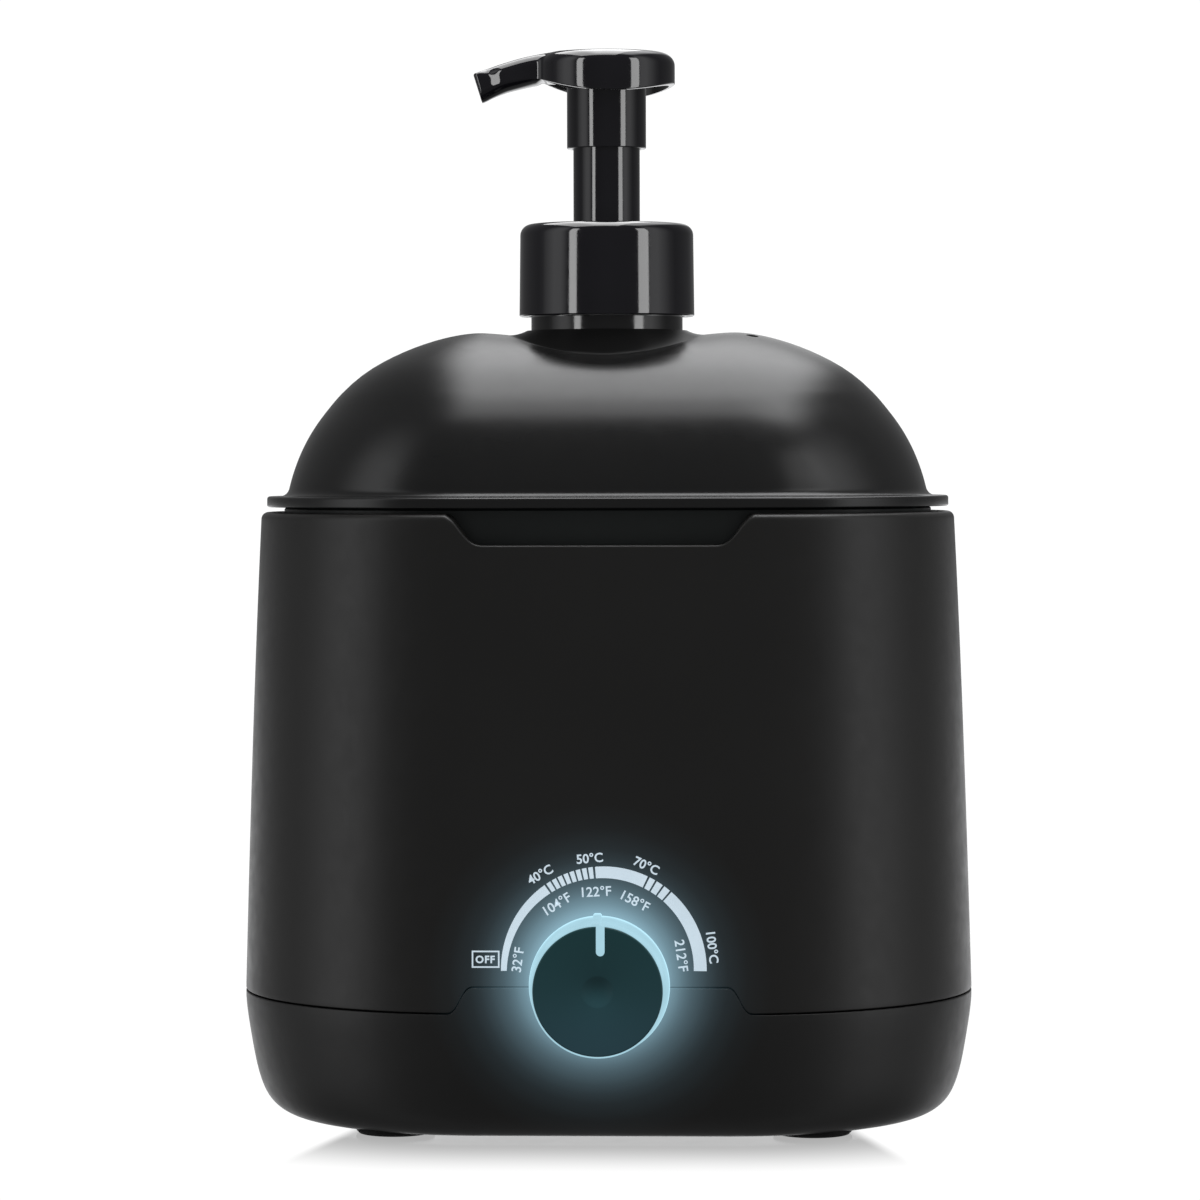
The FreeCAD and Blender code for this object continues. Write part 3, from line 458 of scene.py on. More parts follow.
def lit(name, colour, low, high, rough=0.5, body=((0.45, 0.55, 0.60), (0.55, 0.64, 0.68))):
    """Frosted plastic lit from behind, a little uneven."""
    m = Mat(name)
    m.link(m.ramp(m.noise(160.0, 2.0), [(0.3, tuple(c * low for c in colour)), (0.7, tuple(c * high for c in colour))]), m.b.inputs["Emission Color"])
    m.link(m.ramp(m.noise(240.0, 3.0), [(0.3, body[0]), (0.7, body[1])]), m.b.inputs["Base Color"])
    m.link(m.range(m.noise(700.0, 3.0), 0.3, 0.7, rough - 0.08, rough + 0.08), m.b.inputs["Roughness"])
    m.link(m.bump(m.noise(1800.0, 2.0), 1.0, 0.00001), m.b.inputs["Normal"])
    m.set(Emission_Strength=1.0)
    return m


m_lens = lit("lens_glow", (0.375, 0.62, 0.72), 0.95, 1.05, body=((0.030, 0.045, 0.050), (0.040, 0.055, 0.062)))
l_sep = m_lens.node("ShaderNodeSeparateXYZ")
m_lens.link(m_lens.tc.outputs["Object"], l_sep.inputs[0])
m_lens.link(m_lens.range(l_sep.outputs[1], (-71.0 + DY) * MM, (-68.3 + DY) * MM, 1.0, 1.5), m_lens.b.inputs["Emission Strength"])
M_LENS = m_lens.m
M_LED = lit("led_glow", (0.85, 1.0, 1.1), 0.95, 1.05).m

m_knob = plastic("knob_dark", (0.0040, 0.0100, 0.0115), (0.0050, 0.0125, 0.0145), 0.34, 0.03, 2400.0, 0.000006, 30.0, spec=0.35)
k_sep = m_knob.node("ShaderNodeSeparateXYZ")
m_knob.link(m_knob.tc.outputs["Object"], k_sep.inputs[0])
# painted glow on the cap's face: emission colour lighter towards the bottom
k_painted_glow_down = m_knob.range(k_sep.outputs[2], (Z_DIAL + 17) * MM, (Z_DIAL - 17) * MM, 0.0, 1.0)
m_knob.link(m_knob.ramp(k_painted_glow_down, [(0.0, (0.0050, 0.0240, 0.0260)), (0.5, (0.0085, 0.0300, 0.0350)), (1.0, (0.0150, 0.0400, 0.0520))]), m_knob.b.inputs["Emission Color"])
# painted shade by facing: faces turned down glow less, faces turned up glow more
k_geo = m_knob.node("ShaderNodeNewGeometry")
k_painted_shade_normal = m_knob.node("ShaderNodeSeparateXYZ")
m_knob.link(k_geo.outputs["Normal"], k_painted_shade_normal.inputs[0])
m_knob.link(m_knob.range(k_painted_shade_normal.outputs[2], -0.4, 0.4, 0.50, 1.55), m_knob.b.inputs["Emission Strength"])
M_KNOB = m_knob.m

# dial print: the ink's own colour, plus a painted bluish glow in the emission for the lit ring's light on it
m_ink_and_painted_glow = plastic("dial_ink_and_painted_glow", (0.60, 0.66, 0.74), (0.68, 0.73, 0.80), 0.45, 0.05, 2600.0, 0.000006, 60.0)
m_ink_and_painted_glow.link(m_ink_and_painted_glow.ramp(m_ink_and_painted_glow.noise(150.0, 2.0), [(0.3, (0.38, 0.46, 0.51)), (0.7, (0.42, 0.50, 0.55))]), m_ink_and_painted_glow.b.inputs["Emission Color"])
m_ink_and_painted_glow.set(Emission_Strength=1.0)
M_INK_AND_PAINTED_GLOW = m_ink_and_painted_glow.m

SLOT_MAT = {
    "body_black": M_BODY, "base_black": M_BASE, "lid_black": M_LID, "pump_black": M_PUMP, "bottle_black": M_BOTTLE,
    "knob_dark": M_KNOB, "lens_glow": M_LENS, "tank_grey": M_TANK, "foot_rubber": M_RUBBER, "seal_silicone": M_SEAL,
    "heater_alu": M_ALU, "steel": M_STEEL, "spring_steel": M_SPRING, "element_steel": M_ELEMENT, "brass": M_BRASS,
    "pcb_green": M_PCB, "relay_blue": M_RELAY, "transformer_core": M_CORE, "capacitor_yellow": M_CAPA,
    "terminal_green": M_TERM, "fuse_white": M_FUSE, "lead_insulation": M_LEAD, "control_grey": M_CONTROL,
    "led_white": M_LED, "pump_natural": M_NATURAL, "tube_clear": M_TUBE, "mesh_white": M_NATURAL,
}
node_slot = {s["node"]: s["material_slot"] for s in frame["record"]["subparts"]}
for name, ob in nodes.items():
    ob.data.materials.clear()
    ob.data.materials.append(SLOT_MAT[node_slot[name]])
    ob.data.polygons.foreach_set("use_smooth", [True] * len(ob.data.polygons))
    ob.data.set_sharp_from_angle(angle=math.radians(28))


# ---------------------------------------------------------------------------
# body shell
# ---------------------------------------------------------------------------
def settle(r_of, z_of, passes=6):
    """Radius and height per column where both depend on each other."""
    r = np.full(NC, 63.0)
    for _ in range(passes):
        x, y = stad(r)
        z = z_of(x, y)
        r = r_of(z)
    return r, z


def column_rows(list_rz):
    out = []
    for r, z in list_rz:
        r = np.broadcast_to(np.asarray(r, float), (NC,))
        z = np.broadcast_to(np.asarray(z, float), (NC,))
        x, y = stad(r)
        out.append(np.stack([x, y, z], 1))
    return out


rb, zb = settle(body_r, lambda x, y: z_seam(x, y, 0.2))
rt, zt = settle(body_r, z_top)
e_bot = 0.30
e_top = np.where(zt > Z_BODY_TOP - 0.01, 1.95, 0.75)
w = np.clip((zt - Z_NOTCH) / (Z_BODY_TOP - Z_NOTCH), 0, 1)
e_top = 0.75 + (1.95 - 0.75) * w ** 2

inner_rz = np.array([(63.52, 30.0), (63.52, 35.2), (63.75, 40.0), (63.45, 64.5), (62.35, 97.6), (61.2, 130.6), (60.0, 162.4), (59.8, 166.0)])


def inner_r(z):
    return np.interp(z, inner_rz[:, 1], inner_rz[:, 0])


rows = []
# lower edge, from the inner wall outward, with a small radius
rows.append((inner_r(zb + 0.3), zb + 0.3))
rows.append((inner_r(zb) + 0.25, zb))
for a in np.linspace(0, 90, 5):
    ca, sa = math.cos(math.radians(a)), math.sin(math.radians(a))
    rows.append((body_r(zb + e_bot) - e_bot + e_bot * sa, zb + e_bot - e_bot * ca))
for t in np.linspace(0, 1, 15)[1:]:
    z = (zb + e_bot) * (1 - t) + 50.0 * t
    rows.append((body_r(z), z))
for z in np.linspace(50, 148, 50)[1:]:
    z = np.full(NC, z)
    rows.append((body_r(z), z))
for t in np.linspace(0, 1, 9)[1:]:
    z = 148.0 * (1 - t) + (zt - e_top) * t
    rows.append((body_r(z), z))
rk = body_r(zt - e_top)
for a in np.linspace(0, 90, 9)[1:]:
    ca, sa = math.cos(math.radians(a)), math.sin(math.radians(a))
    rows.append((rk - e_top + e_top * ca, zt - e_top + e_top * sa))
rows.append((np.full(NC, 56.5), zt))
rows.append((np.full(NC, 56.2), zt - 0.3))
rows.append((np.full(NC, 56.2), zt - 1.8))
rows.append((np.full(NC, 56.5), zt - 2.0))
rows.append((inner_r(zt - 2.0) - 0.4, zt - 2.0))
for t in np.linspace(0, 1, 14):
    z = (zt - 2.6) * (1 - t) + (zb + 0.6) * t
    rows.append((inner_r(z), z))
body_rows = column_rows(rows)
V = np.concatenate(body_rows)
me = mesh_of("body_shell_skin", V, grid_faces(len(body_rows), NC, wrap_rows=True))
body_ob = link("body_shell_skin", me, "housing", "body_black", M_BODY, ("body_shell",), sharp=40)

# ---------------------------------------------------------------------------
# base shell
# ---------------------------------------------------------------------------
rs, zs = settle(base_r, lambda x, y: z_seam(x, y, -0.2))
rows = []
arc = []
p0, p1, p2 = np.array([53.5, 1.2]), np.array([58.25, 3.25]), np.array([61.5, 7.0])
# circle through three points
A = np.array([p1 - p0, p2 - p0]) * 2
bb = np.array([p1 @ p1 - p0 @ p0, p2 @ p2 - p0 @ p0])
c = np.linalg.solve(A, bb)
rad = np.linalg.norm(p0 - c)
a0 = math.atan2(*(p0 - c)[::-1]); a1 = math.atan2(*(p2 - c)[::-1])
if a1 < a0:
    a1 += 2 * math.pi
for t in np.linspace(0, 1, 13):
    a = a0 + (a1 - a0) * t
    rows.append((c[0] + rad * math.cos(a), c[1] + rad * math.sin(a)))
e_s = 0.30
for z in (7.4, 8.2, 9.4, 10.8, 12.8, 14.9, 17, 19, 21, 23.2, 25.3, 27.3, 29.4, 31.5, 33.0):
    rows.append((base_r(z), z))
for t in np.linspace(0, 1, 9)[1:]:
    z = 33.0 * (1 - t) + (zs - e_s) * t
    rows.append((base_r(z), z))
rk = base_r(zs - e_s)
for a in np.linspace(0, 90, 5)[1:]:
    ca, sa = math.cos(math.radians(a)), math.sin(math.radians(a))
    rows.append((rk - e_s + e_s * ca, zs - e_s + e_s * sa))
rows.append((np.full(NC, 64.0), zs))
rows.append((np.full(NC, 64.0), np.maximum(zs - 0.6, 34.6)))
rows.append((np.full(NC, 63.2), np.maximum(zs - 0.6, 34.7)))
rows.append((np.full(NC, 63.2), np.full(NC, 38.4)))
rows.append((np.full(NC, 62.9), np.full(NC, 38.6)))
rows.append((np.full(NC, 61.9), np.full(NC, 38.6)))
rows.append((61.9, 29.5))
rows.append((62.1, 23.2))
rows.append((60.7, 14.9))
rows.append((58.9, 8.4))
rows.append((57.6, 5.2))
rows.append((54.5, 3.7))
base_rows = column_rows(rows)
V = np.concatenate(base_rows)
F = grid_faces(len(base_rows), NC, wrap_rows=False)
F.append(tuple(range(NC))[::-1])
n0 = (len(base_rows) - 1) * NC
F.append(tuple(range(n0, n0 + NC)))
me = mesh_of("base_shell_skin", V, F)
base_ob = link("base_shell_skin", me, "housing", "base_black", M_BASE, ("base_shell",), sharp=40)


def prism(name, outline, z0, z1):
    """Closed prism from an XY outline, as a cutter."""
    n = len(outline)
    v = [(x, y, z0) for x, y in outline] + [(x, y, z1) for x, y in outline]
    f = [tuple(range(n))[::-1], tuple(range(n, 2 * n))] + [(i, (i + 1) % n, n + (i + 1) % n, n + i) for i in range(n)]
    me = mesh_of(name, v, f)
    ob = bpy.data.objects.new(name, me)
    bpy.context.scene.collection.objects.link(ob)
    return ob


def cut(ob, cutters):
    """Boolean difference with several cutters, applied."""
    col = bpy.data.collections.new("cutters")
    bpy.context.scene.collection.children.link(col)
    for c_ in cutters:
        bpy.context.scene.collection.objects.unlink(c_)
        col.objects.link(c_)
    mod = ob.modifiers.new("cut", "BOOLEAN")
    mod.operation = "DIFFERENCE"
    mod.operand_type = "COLLECTION"
    mod.collection = col
    mod.solver = "EXACT"
    dg = bpy.context.evaluated_depsgraph_get()
    new = bpy.data.meshes.new_from_object(ob.evaluated_get(dg))
    ob.modifiers.clear()
    old = ob.data
    ob.data = new
    new.name = old.name
    for c_ in cutters:
        bpy.data.objects.remove(c_)
    bpy.data.collections.remove(col)
    new.set_sharp_from_angle(angle=math.radians(40))
    return ob


def disc(r, x, y, n=40):
    return [(x + r * math.cos(2 * math.pi * i / n), y + r * math.sin(2 * math.pi * i / n)) for i in range(n)]


def slot_outline(x, y0, y1, w_, n=8):
    r = w_ / 2
    out = []
    for i in range(n + 1):
        a = math.pi * i / n
        out.append((x + r * math.cos(a), y1 - r + r * math.sin(a)))
    for i in range(n + 1):
        a = math.pi + math.pi * i / n
        out.append((x + r * math.cos(a), y0 + r + r * math.sin(a)))
    return out


cutters = []
for sx in (1, -1):
    for sy in (1, -1):
        cutters.append(prism("c1_%d%d" % (sx, sy), disc(10.65, 56 * sx, 38 * sy, 64), -1, 2.2))
        cutters.append(prism("c2_%d%d" % (sx, sy), disc(3.6, 60 * sx, 22 * sy), -1, 20))
        cutters.append(prism("c3_%d%d" % (sx, sy), disc(3.6, 73 * sx, 30 * sy), -1, 14))
for i in range(-3, 4):
    cutters.append(prism("c4_%d" % i, slot_outline(i * 7.0, -30, -14, 2.4), -1, 5))
cutters.append(prism("c5", [(-12, 50), (12, 50), (12, 75), (-12, 75)], 13.0, 27.0))
cut(base_ob, cutters)

# ---------------------------------------------------------------------------
# lid
# ---------------------------------------------------------------------------
Z_LID, Z_FLANGE, R_FLANGE = 167.6, 170.5, 60.65
DOME_RZ = np.array([(54.48, 173.0), (53.9, 175.2), (52.97, 178.1), (51.75, 181.3), (50.22, 184.6), (48.38, 187.9), (46.18, 191.2), (43.72, 194.4),
                    (40.85, 197.8), (37.4, 201.2), (33.1, 204.6), (27.7, 207.8), (20.4, 211.1), (12.3, 213.7), (5.0, 215.05), (0.0, 215.3),
                    (-5.0, 215.05), (-12.3, 213.7), (-20.4, 211.1)])


def chord_curve(pts, n=3000):
    """Natural cubic through points, by chord length."""
    d = np.concatenate([[0], np.cumsum(np.hypot(*np.diff(pts, axis=0).T))])
    out = []
    for c_ in (0, 1):
        t, val = smooth_table(np.stack([pts[:, c_], d], 1), n)
        out.append(val)
    return np.stack(out, 1)


DOME_OUT = chord_curve(DOME_RZ)
tan_ = np.gradient(DOME_OUT, axis=0)
tan_ /= np.linalg.norm(tan_, axis=1)[:, None]
DOME_IN = DOME_OUT - 2.2 * np.stack([tan_[:, 1], -tan_[:, 0]], 1)
DOME_OUT = DOME_OUT[DOME_OUT[:, 0] >= 0]
DOME_IN = DOME_IN[DOME_IN[:, 0] >= 0]


def dome_z(r, curve=DOME_OUT):
    return np.interp(np.asarray(r, float), curve[::-1, 0], curve[::-1, 1])


def seg_dist(x, y):
    return np.hypot(np.maximum(np.abs(x) - XC, 0.0), y)


def smoothstep(t):
    t = np.clip(t, 0, 1)
    return t * t * (3 - 2 * t)


def lid_top(x, y):
    rho = np.hypot(x, y)
    z = dome_z(seg_dist(x, y))
    dish = 1.3 * np.clip((37.0 - rho) / 15.0, 0, 1) ** 1.7
    zf = z - dish * (0.2 + 0.8 * (np.abs(x) / rho) ** 2)
    top = 215.8
    foot = 25.6 + 1.3 * (np.abs(x) / rho) ** 4
    t = np.clip((foot - rho) / (foot - 22.0), 0, 1)
    return zf + (top - zf) * t ** 1.4


# (r, z) of the stadium part, from the inner wall of the skirt round to the dome
lid_rows = []
R_BLEND = 40.0


def dome_steep(curve, r_hi, n):
    """(r, z) down the steep part, from r_hi at the top to the foot."""
    z_hi = float(np.interp(r_hi, curve[::-1, 0], curve[::-1, 1]))
    z_lo = float(curve[0, 1])
    keep = curve[curve[:, 1] <= z_hi + 1]
    return [(float(np.interp(z_, keep[:, 1], keep[:, 0])), z_) for z_ in np.linspace(z_hi, z_lo, n)]


inner_part = dome_steep(DOME_IN, R_BLEND, 24)
inner_part += [(52.25, Z_FLANGE), (51.9, Z_LID + 0.6), (51.8, Z_LID - 3.9), (52.1, Z_LID - 4.2), (52.9, Z_LID - 4.2), (53.15, Z_LID - 3.9),
               (53.3, Z_LID - 3.4), (53.3, Z_LID - 0.25), (53.55, Z_LID)]
flange = rounded([(53.6, Z_LID), (R_FLANGE, Z_LID, 0.45), (R_FLANGE, Z_FLANGE, 0.75), (58.0, Z_FLANGE)], closed=False, step=15)
foot_r, foot_z = DOME_RZ[0]
# concave fillet from the flange top to the dome foot
fil = []
b0, b1, b2 = np.array([foot_r + 3.0, Z_FLANGE]), np.array([foot_r + 0.5, Z_FLANGE]), np.array([foot_r, foot_z])
for t in np.linspace(0, 1, 12):
    q = (1 - t) ** 2 * b0 + 2 * t * (1 - t) * b1 + t * t * b2
    fil.append(tuple(q))
outer_part = dome_steep(DOME_OUT, R_BLEND, 40)[::-1]
prof = inner_part + flange + fil + outer_part[1:]

ring_rows = column_rows(prof)
# morph from the stadium ring at R_BLEND to the circle of the boss
sx_, sy_ = stad(R_BLEND)
th = np.arctan2(sy_, sx_)
rho_s = np.hypot(sx_, sy_)


def morph(s, rho0):
    rho = rho_s * (1 - s) + rho0 * s
    return rho * np.cos(th), rho * np.sin(th)


outer_ring = []
S = np.concatenate([np.linspace(0, 0.5, 10)[1:], np.linspace(0.5, 0.84, 18)[1:], np.linspace(0.84, 0.999, 36)[1:]])
for s in S:
    x, y = morph(s, 22.0)
    outer_ring.append(np.stack([x, y, lid_top(x, y)], 1))
edge = []
for r_, z_ in rounded([(22.0, 215.0), (22.0, 215.8, 0.35), (21.3, 215.8, 0.3), (21.3, 213.0)], closed=False, step=20)[1:]:
    edge.append(np.stack([r_ * np.cos(th), r_ * np.sin(th), np.full(NC, z_)], 1))
low = []
for z_ in (212.0, 210.0, 208.2):
    low.append(np.stack([21.3 * np.cos(th), 21.3 * np.sin(th), np.full(NC, z_)], 1))
inner_ring = []
for s in np.linspace(0, 0.97, 22)[1:][::-1]:
    x, y = morph(s, 21.3)
    z = lid_top(x, y) - 2.4
    z = np.minimum(z, dome_z(seg_dist(x, y), DOME_IN) + 0.2)
    inner_ring.append(np.stack([x, y, z], 1))
all_rows = ring_rows + outer_ring + edge + low + inner_ring
V = np.concatenate(all_rows)
me = mesh_of("lid_skin", V, grid_faces(len(all_rows), NC, wrap_rows=True))
lid_ob = link("lid_skin", me, "lid", "lid_black", M_LID, ("lid_shell",), sharp=60)

# ---------------------------------------------------------------------------
# pump: collar and guide
# ---------------------------------------------------------------------------
collar = rounded([(21.65, 219.65, 0.2), (24.05, 219.65, 0.45), (23.74, 244.85, 3.1), (9.35, 245.45, 0.35), (9.35, 243.2, 0), (21.6, 243.2, 0.6)], step=6)
lathe("pump_collar_skin", collar, 192, body="collar", slot="pump_black", mat=M_PUMP, replaces=("pump_collar",), sharp=35)
guide = rounded([(7.7, 242.0), (8.6, 241.8), (17.0, 241.8, 0.2), (17.0, 243.0, 0.2), (9.13, 243.0), (9.13, 266.6, 0.45), (7.7, 266.6, 0.3)], step=12)
lathe("pump_guide_skin", guide, 128, body="pump", slot="pump_black", mat=M_PUMP, replaces=("pump_guide",), sharp=35)


# ---------------------------------------------------------------------------
# pump head: a shallow disc that runs into the nozzle, hollow underneath
# ---------------------------------------------------------------------------
R_DISC, BLEND = 18.8, 2.8
NOZ_W = np.array([(-38.0, 4.25), (-36.6, 4.3), (-34.5, 4.38), (-33.2, 4.47), (-32.2, 4.64), (-31.2, 4.93), (-30.2, 5.29), (-29.2, 5.63), (-28.2, 5.86),
                  (-26.0, 6.08), (-24.0, 6.2), (-20.0, 6.5), (-16.0, 6.8)])
NOZ_TOP = np.array([(-38.0, 285.5), (-34.0, 287.0), (-29.0, 288.65), (-24.0, 290.15), (-19.0, 291.2), (-14.0, 291.85), (-10.0, 292.05), (-5.0, 292.16), (0.0, 292.2)])
NOZ_LOW = np.array([(-38.0, 278.15), (-36.6, 278.35), (-33.0, 279.45), (-30.0, 280.4), (-27.0, 281.25), (-24.0, 282.0), (-19.0, 283.1), (-14.0, 283.75), (-8.0, 284.3)])
NOZ_EDGE = np.array([(-38.0, 280.6), (-34.0, 282.5), (-29.0, 283.9), (-24.0, 284.6), (-20.0, 284.65), (-16.5, 283.9)])


def curve_of(table, x):
    """Smooth curve through a table of (x, value)."""
    xx, vv = smooth_table(table[:, ::-1])
    return np.interp(x, xx, vv)


def rim_z(x):
    return 280.5 + 0.0098 * (np.asarray(x, float) - 2.0) ** 2


def head_outline():
    """Closed plan outline, anticlockwise, with a share 0 (disc) to 1 (nozzle) for each point."""
    xs = np.linspace(-17.0, -36.6, 8000)
    ys = curve_of(NOZ_W, xs)
    dx, dy = np.gradient(xs), np.gradient(ys)
    n = np.stack([-dy, dx], 1) / np.hypot(dx, dy)[:, None]
    n[n[:, 1] < 0] *= -1
    off = np.stack([xs, ys], 1) + BLEND * n
    k = int(np.argmin(np.abs(np.hypot(off[:, 0], off[:, 1]) - (R_DISC + BLEND))))
    c_ = off[k]
    a_disc = math.atan2(c_[1], c_[0])
    pts, share = [], []
    for a_ in np.linspace(0, a_disc, 100)[:-1]:
        pts.append((R_DISC * math.cos(a_), R_DISC * math.sin(a_))); share.append(0.0)
    b_start = a_disc - math.pi
    touch = np.array([xs[k], ys[k]]) - c_
    b_end = math.atan2(touch[1], touch[0])
    for i, t in enumerate(np.linspace(0, 1, 18)[1:]):
        b = b_start + (b_end - b_start) * t
        pts.append((c_[0] + BLEND * math.cos(b), c_[1] + BLEND * math.sin(b))); share.append(t)
    x_end, rc = -36.6, 1.4
    for x in np.linspace(xs[k], x_end + rc, 34)[1:]:
        pts.append((x, float(curve_of(NOZ_W, x)))); share.append(1.0)
    w_e = pts[-1][1]
    for b in np.linspace(90, 180, 8)[1:]:
        pts.append((x_end + rc + rc * math.cos(math.radians(b)), w_e - rc + rc * math.sin(math.radians(b)))); share.append(1.0)
    for y in np.linspace(w_e - rc, 0, 7)[1:]:
        pts.append((x_end, y)); share.append(1.0)
    half = pts[1:-1]
    low_half = [(x, -y) for x, y in half[::-1]]
    P = np.array([pts[0]] + half + [pts[-1]] + low_half)
    hs = share[1:-1]
    S_ = np.array([share[0]] + hs + [share[-1]] + hs[::-1])
    return P, S_


HP, HS = head_outline()
HN = np.roll(HP, -1, 0) - np.roll(HP, 1, 0)
HN = np.stack([HN[:, 1], -HN[:, 0]], 1)
HN /= np.linalg.norm(HN, axis=1)[:, None]
SPINE = np.stack([np.clip(HP[:, 0], -33.6, 0.0), np.zeros(len(HP))], 1)


def head_height(x, y):
    """Crown of the disc running into the top of the nozzle."""
    crown = 292.2 - 0.35 * (np.hypot(x, y) / 14.9) ** 2
    t = smoothstep((-9.0 - x) / 8.0)
    return crown * (1 - t) + curve_of(NOZ_TOP, np.maximum(x, -38.0)) * t


def lean(P3):
    """The nozzle's end leans: the lower part stands back."""
    wgt = np.clip((-P3[:, 0] - 27.0) / 9.6, 0, 1)
    P3 = P3.copy()
    P3[:, 0] += 0.31 * (286.5 - P3[:, 2]) * wgt
    return P3


tongue = smoothstep(HS)
a_top = 3.9 * (1 - tongue) + 2.9 * tongue
b_top = 3.55 * (1 - tongue) + 2.9 * tongue
d_end = smoothstep((HP[:, 0] + 35.1) / 3.2)         # crisper over the end face
a_top *= 0.3 + 0.7 * d_end
b_top *= 0.3 + 0.7 * d_end


def belly_z(x, y):
    """Rounded under side of the nozzle."""
    x = np.clip(x, -38.0, -8.0)
    e_ = curve_of(NOZ_EDGE, np.minimum(x, -16.5))
    w_ = curve_of(NOZ_W, np.minimum(x, -16.0))
    return e_ - (e_ - curve_of(NOZ_LOW, x)) * np.sqrt(np.clip(1 - (y / w_) ** 2, 0, 1))


head_rows = []
# under side, from the spine out to the lower edge
for f_ in (0, 0.14, 0.28, 0.42, 0.55, 0.67, 0.76, 0.83, 0.885, 0.91, 0.93, 0.95, 0.972, 1.0):
    phi = math.pi / 2 * (1 - f_)
    q = (HP.T * math.cos(phi) + SPINE.T * (1 - math.cos(phi))).T
    e_ = min(1.0, R_DISC * (1 - math.cos(phi)) / 0.32)
    rim_row = rim_z(q[:, 0]) + 0.32 * (1 - math.sqrt(1 - (1 - e_) ** 2))
    z = rim_row * (1 - tongue) + belly_z(q[:, 0], q[:, 1]) * tongue
    head_rows.append(np.stack([q[:, 0], q[:, 1], z], 1))
ztop_edge = head_height(*(HP - HN * a_top[:, None]).T) - b_top
z_lo = head_rows[-1][:, 2]
for t in np.linspace(0, 1, 8)[1:-1]:
    head_rows.append(np.stack([HP[:, 0], HP[:, 1], z_lo * (1 - t) + ztop_edge * t], 1))
for a_ in np.linspace(0, 90, 12):
    s_, c_ = math.sin(math.radians(a_)), math.cos(math.radians(a_))
    q = HP - HN * (a_top * (1 - c_))[:, None]
    head_rows.append(np.stack([q[:, 0], q[:, 1], ztop_edge + b_top * s_], 1))
q0 = HP - HN * a_top[:, None]
for t in np.linspace(0, 1, 9)[1:]:
    q = q0 * (1 - t) + SPINE * t
    head_rows.append(np.stack([q[:, 0], q[:, 1], head_height(q[:, 0], q[:, 1])], 1))
NH = len(HP)
me = mesh_of("pump_head_skin", lean(np.concatenate(head_rows)), grid_faces(len(head_rows), NH))
bm = bmesh.new()
bm.from_mesh(me)
bmesh.ops.remove_doubles(bm, verts=bm.verts, dist=1e-6)
bmesh.ops.dissolve_degenerate(bm, edges=bm.edges, dist=1e-7)
bm.to_mesh(me)
bm.free()
head_ob = link("pump_head_skin", me, "head", "pump_black", M_PUMP, ("pump_head",), sharp=None)


def boolean(ob, cutters, operation="DIFFERENCE", sharp=40):
    """Boolean with several closed pieces, applied."""
    col = bpy.data.collections.new("tools")
    bpy.context.scene.collection.children.link(col)
    for q in cutters:
        bpy.context.scene.collection.objects.unlink(q)
        col.objects.link(q)
    mod = ob.modifiers.new("tool", "BOOLEAN")
    mod.operation = operation
    mod.operand_type = "COLLECTION"
    mod.collection = col
    mod.solver = "EXACT"
    new = bpy.data.meshes.new_from_object(ob.evaluated_get(bpy.context.evaluated_depsgraph_get()))
    ob.modifiers.clear()
    old = ob.data
    ob.data = new
    bpy.data.meshes.remove(old)
    new.name = ob.name
    for q in cutters:
        bpy.data.objects.remove(q)
    bpy.data.collections.remove(col)
    new.set_sharp_from_angle(angle=math.radians(sharp))
    return ob


def tidy(ob, sharp):
    """Joins points that lie on each other, drops faces without area and any crumb a boolean left loose."""
    b_ = bmesh.new()
    b_.from_mesh(ob.data)
    bmesh.ops.remove_doubles(b_, verts=b_.verts, dist=1e-6)
    bmesh.ops.triangulate(b_, faces=[f_ for f_ in b_.faces if len(f_.verts) > 4], ngon_method="BEAUTY")
    bmesh.ops.dissolve_degenerate(b_, edges=b_.edges, dist=1e-6)
    seen = set()
    crumbs = []
    for f0 in b_.faces:
        if f0 in seen:
            continue
        seen.add(f0)
        island = [f0]
        for f_ in island:
            for e_ in f_.edges:
                for g_ in e_.link_faces:
                    if g_ not in seen:
                        seen.add(g_)
                        island.append(g_)
        if len(island) < 200:
            crumbs += island
    bmesh.ops.delete(b_, geom=crumbs, context="FACES")
    b_.to_mesh(ob.data)
    b_.free()
    ob.data.set_sharp_from_angle(angle=math.radians(sharp))


def solid(name, verts, faces):
    me_ = mesh_of(name, verts, faces)
    b_ = bmesh.new()
    b_.from_mesh(me_)
    bmesh.ops.recalc_face_normals(b_, faces=b_.faces)
    b_.to_mesh(me_)
    b_.free()
    ob = bpy.data.objects.new(name, me_)
    bpy.context.scene.collection.objects.link(ob)
    return ob


def upright(name, outline, z0, z1):
    """Closed upright prism over an XY outline."""
    n_ = len(outline)
    v_ = [(x, y, z0) for x, y in outline] + [(x, y, z1) for x, y in outline]
    f_ = [tuple(range(n_))[::-1], tuple(range(n_, 2 * n_))] + [(i, (i + 1) % n_, n_ + (i + 1) % n_, n_ + i) for i in range(n_)]
    return solid(name, v_, f_)


def rod(name, r, a, b, n_=48, r2=None):
    """Closed cylinder or cone from a to b."""
    a, b = np.array(a, float), np.array(b, float)
    w_ = (b - a) / np.linalg.norm(b - a)
    u_ = np.cross(w_, [0.3, 0.5, 0.81]); u_ /= np.linalg.norm(u_)
    k_ = np.cross(w_, u_)
    r2 = r if r2 is None else r2
    v_ = [tuple(a + r * (math.cos(t) * u_ + math.sin(t) * k_)) for t in np.linspace(0, 2 * math.pi, n_, endpoint=False)]
    v_ += [tuple(b + r2 * (math.cos(t) * u_ + math.sin(t) * k_)) for t in np.linspace(0, 2 * math.pi, n_, endpoint=False)]
    f_ = [tuple(range(n_))[::-1], tuple(range(n_, 2 * n_))] + [(i, (i + 1) % n_, n_ + (i + 1) % n_, n_ + i) for i in range(n_)]
    return solid(name, v_, f_)


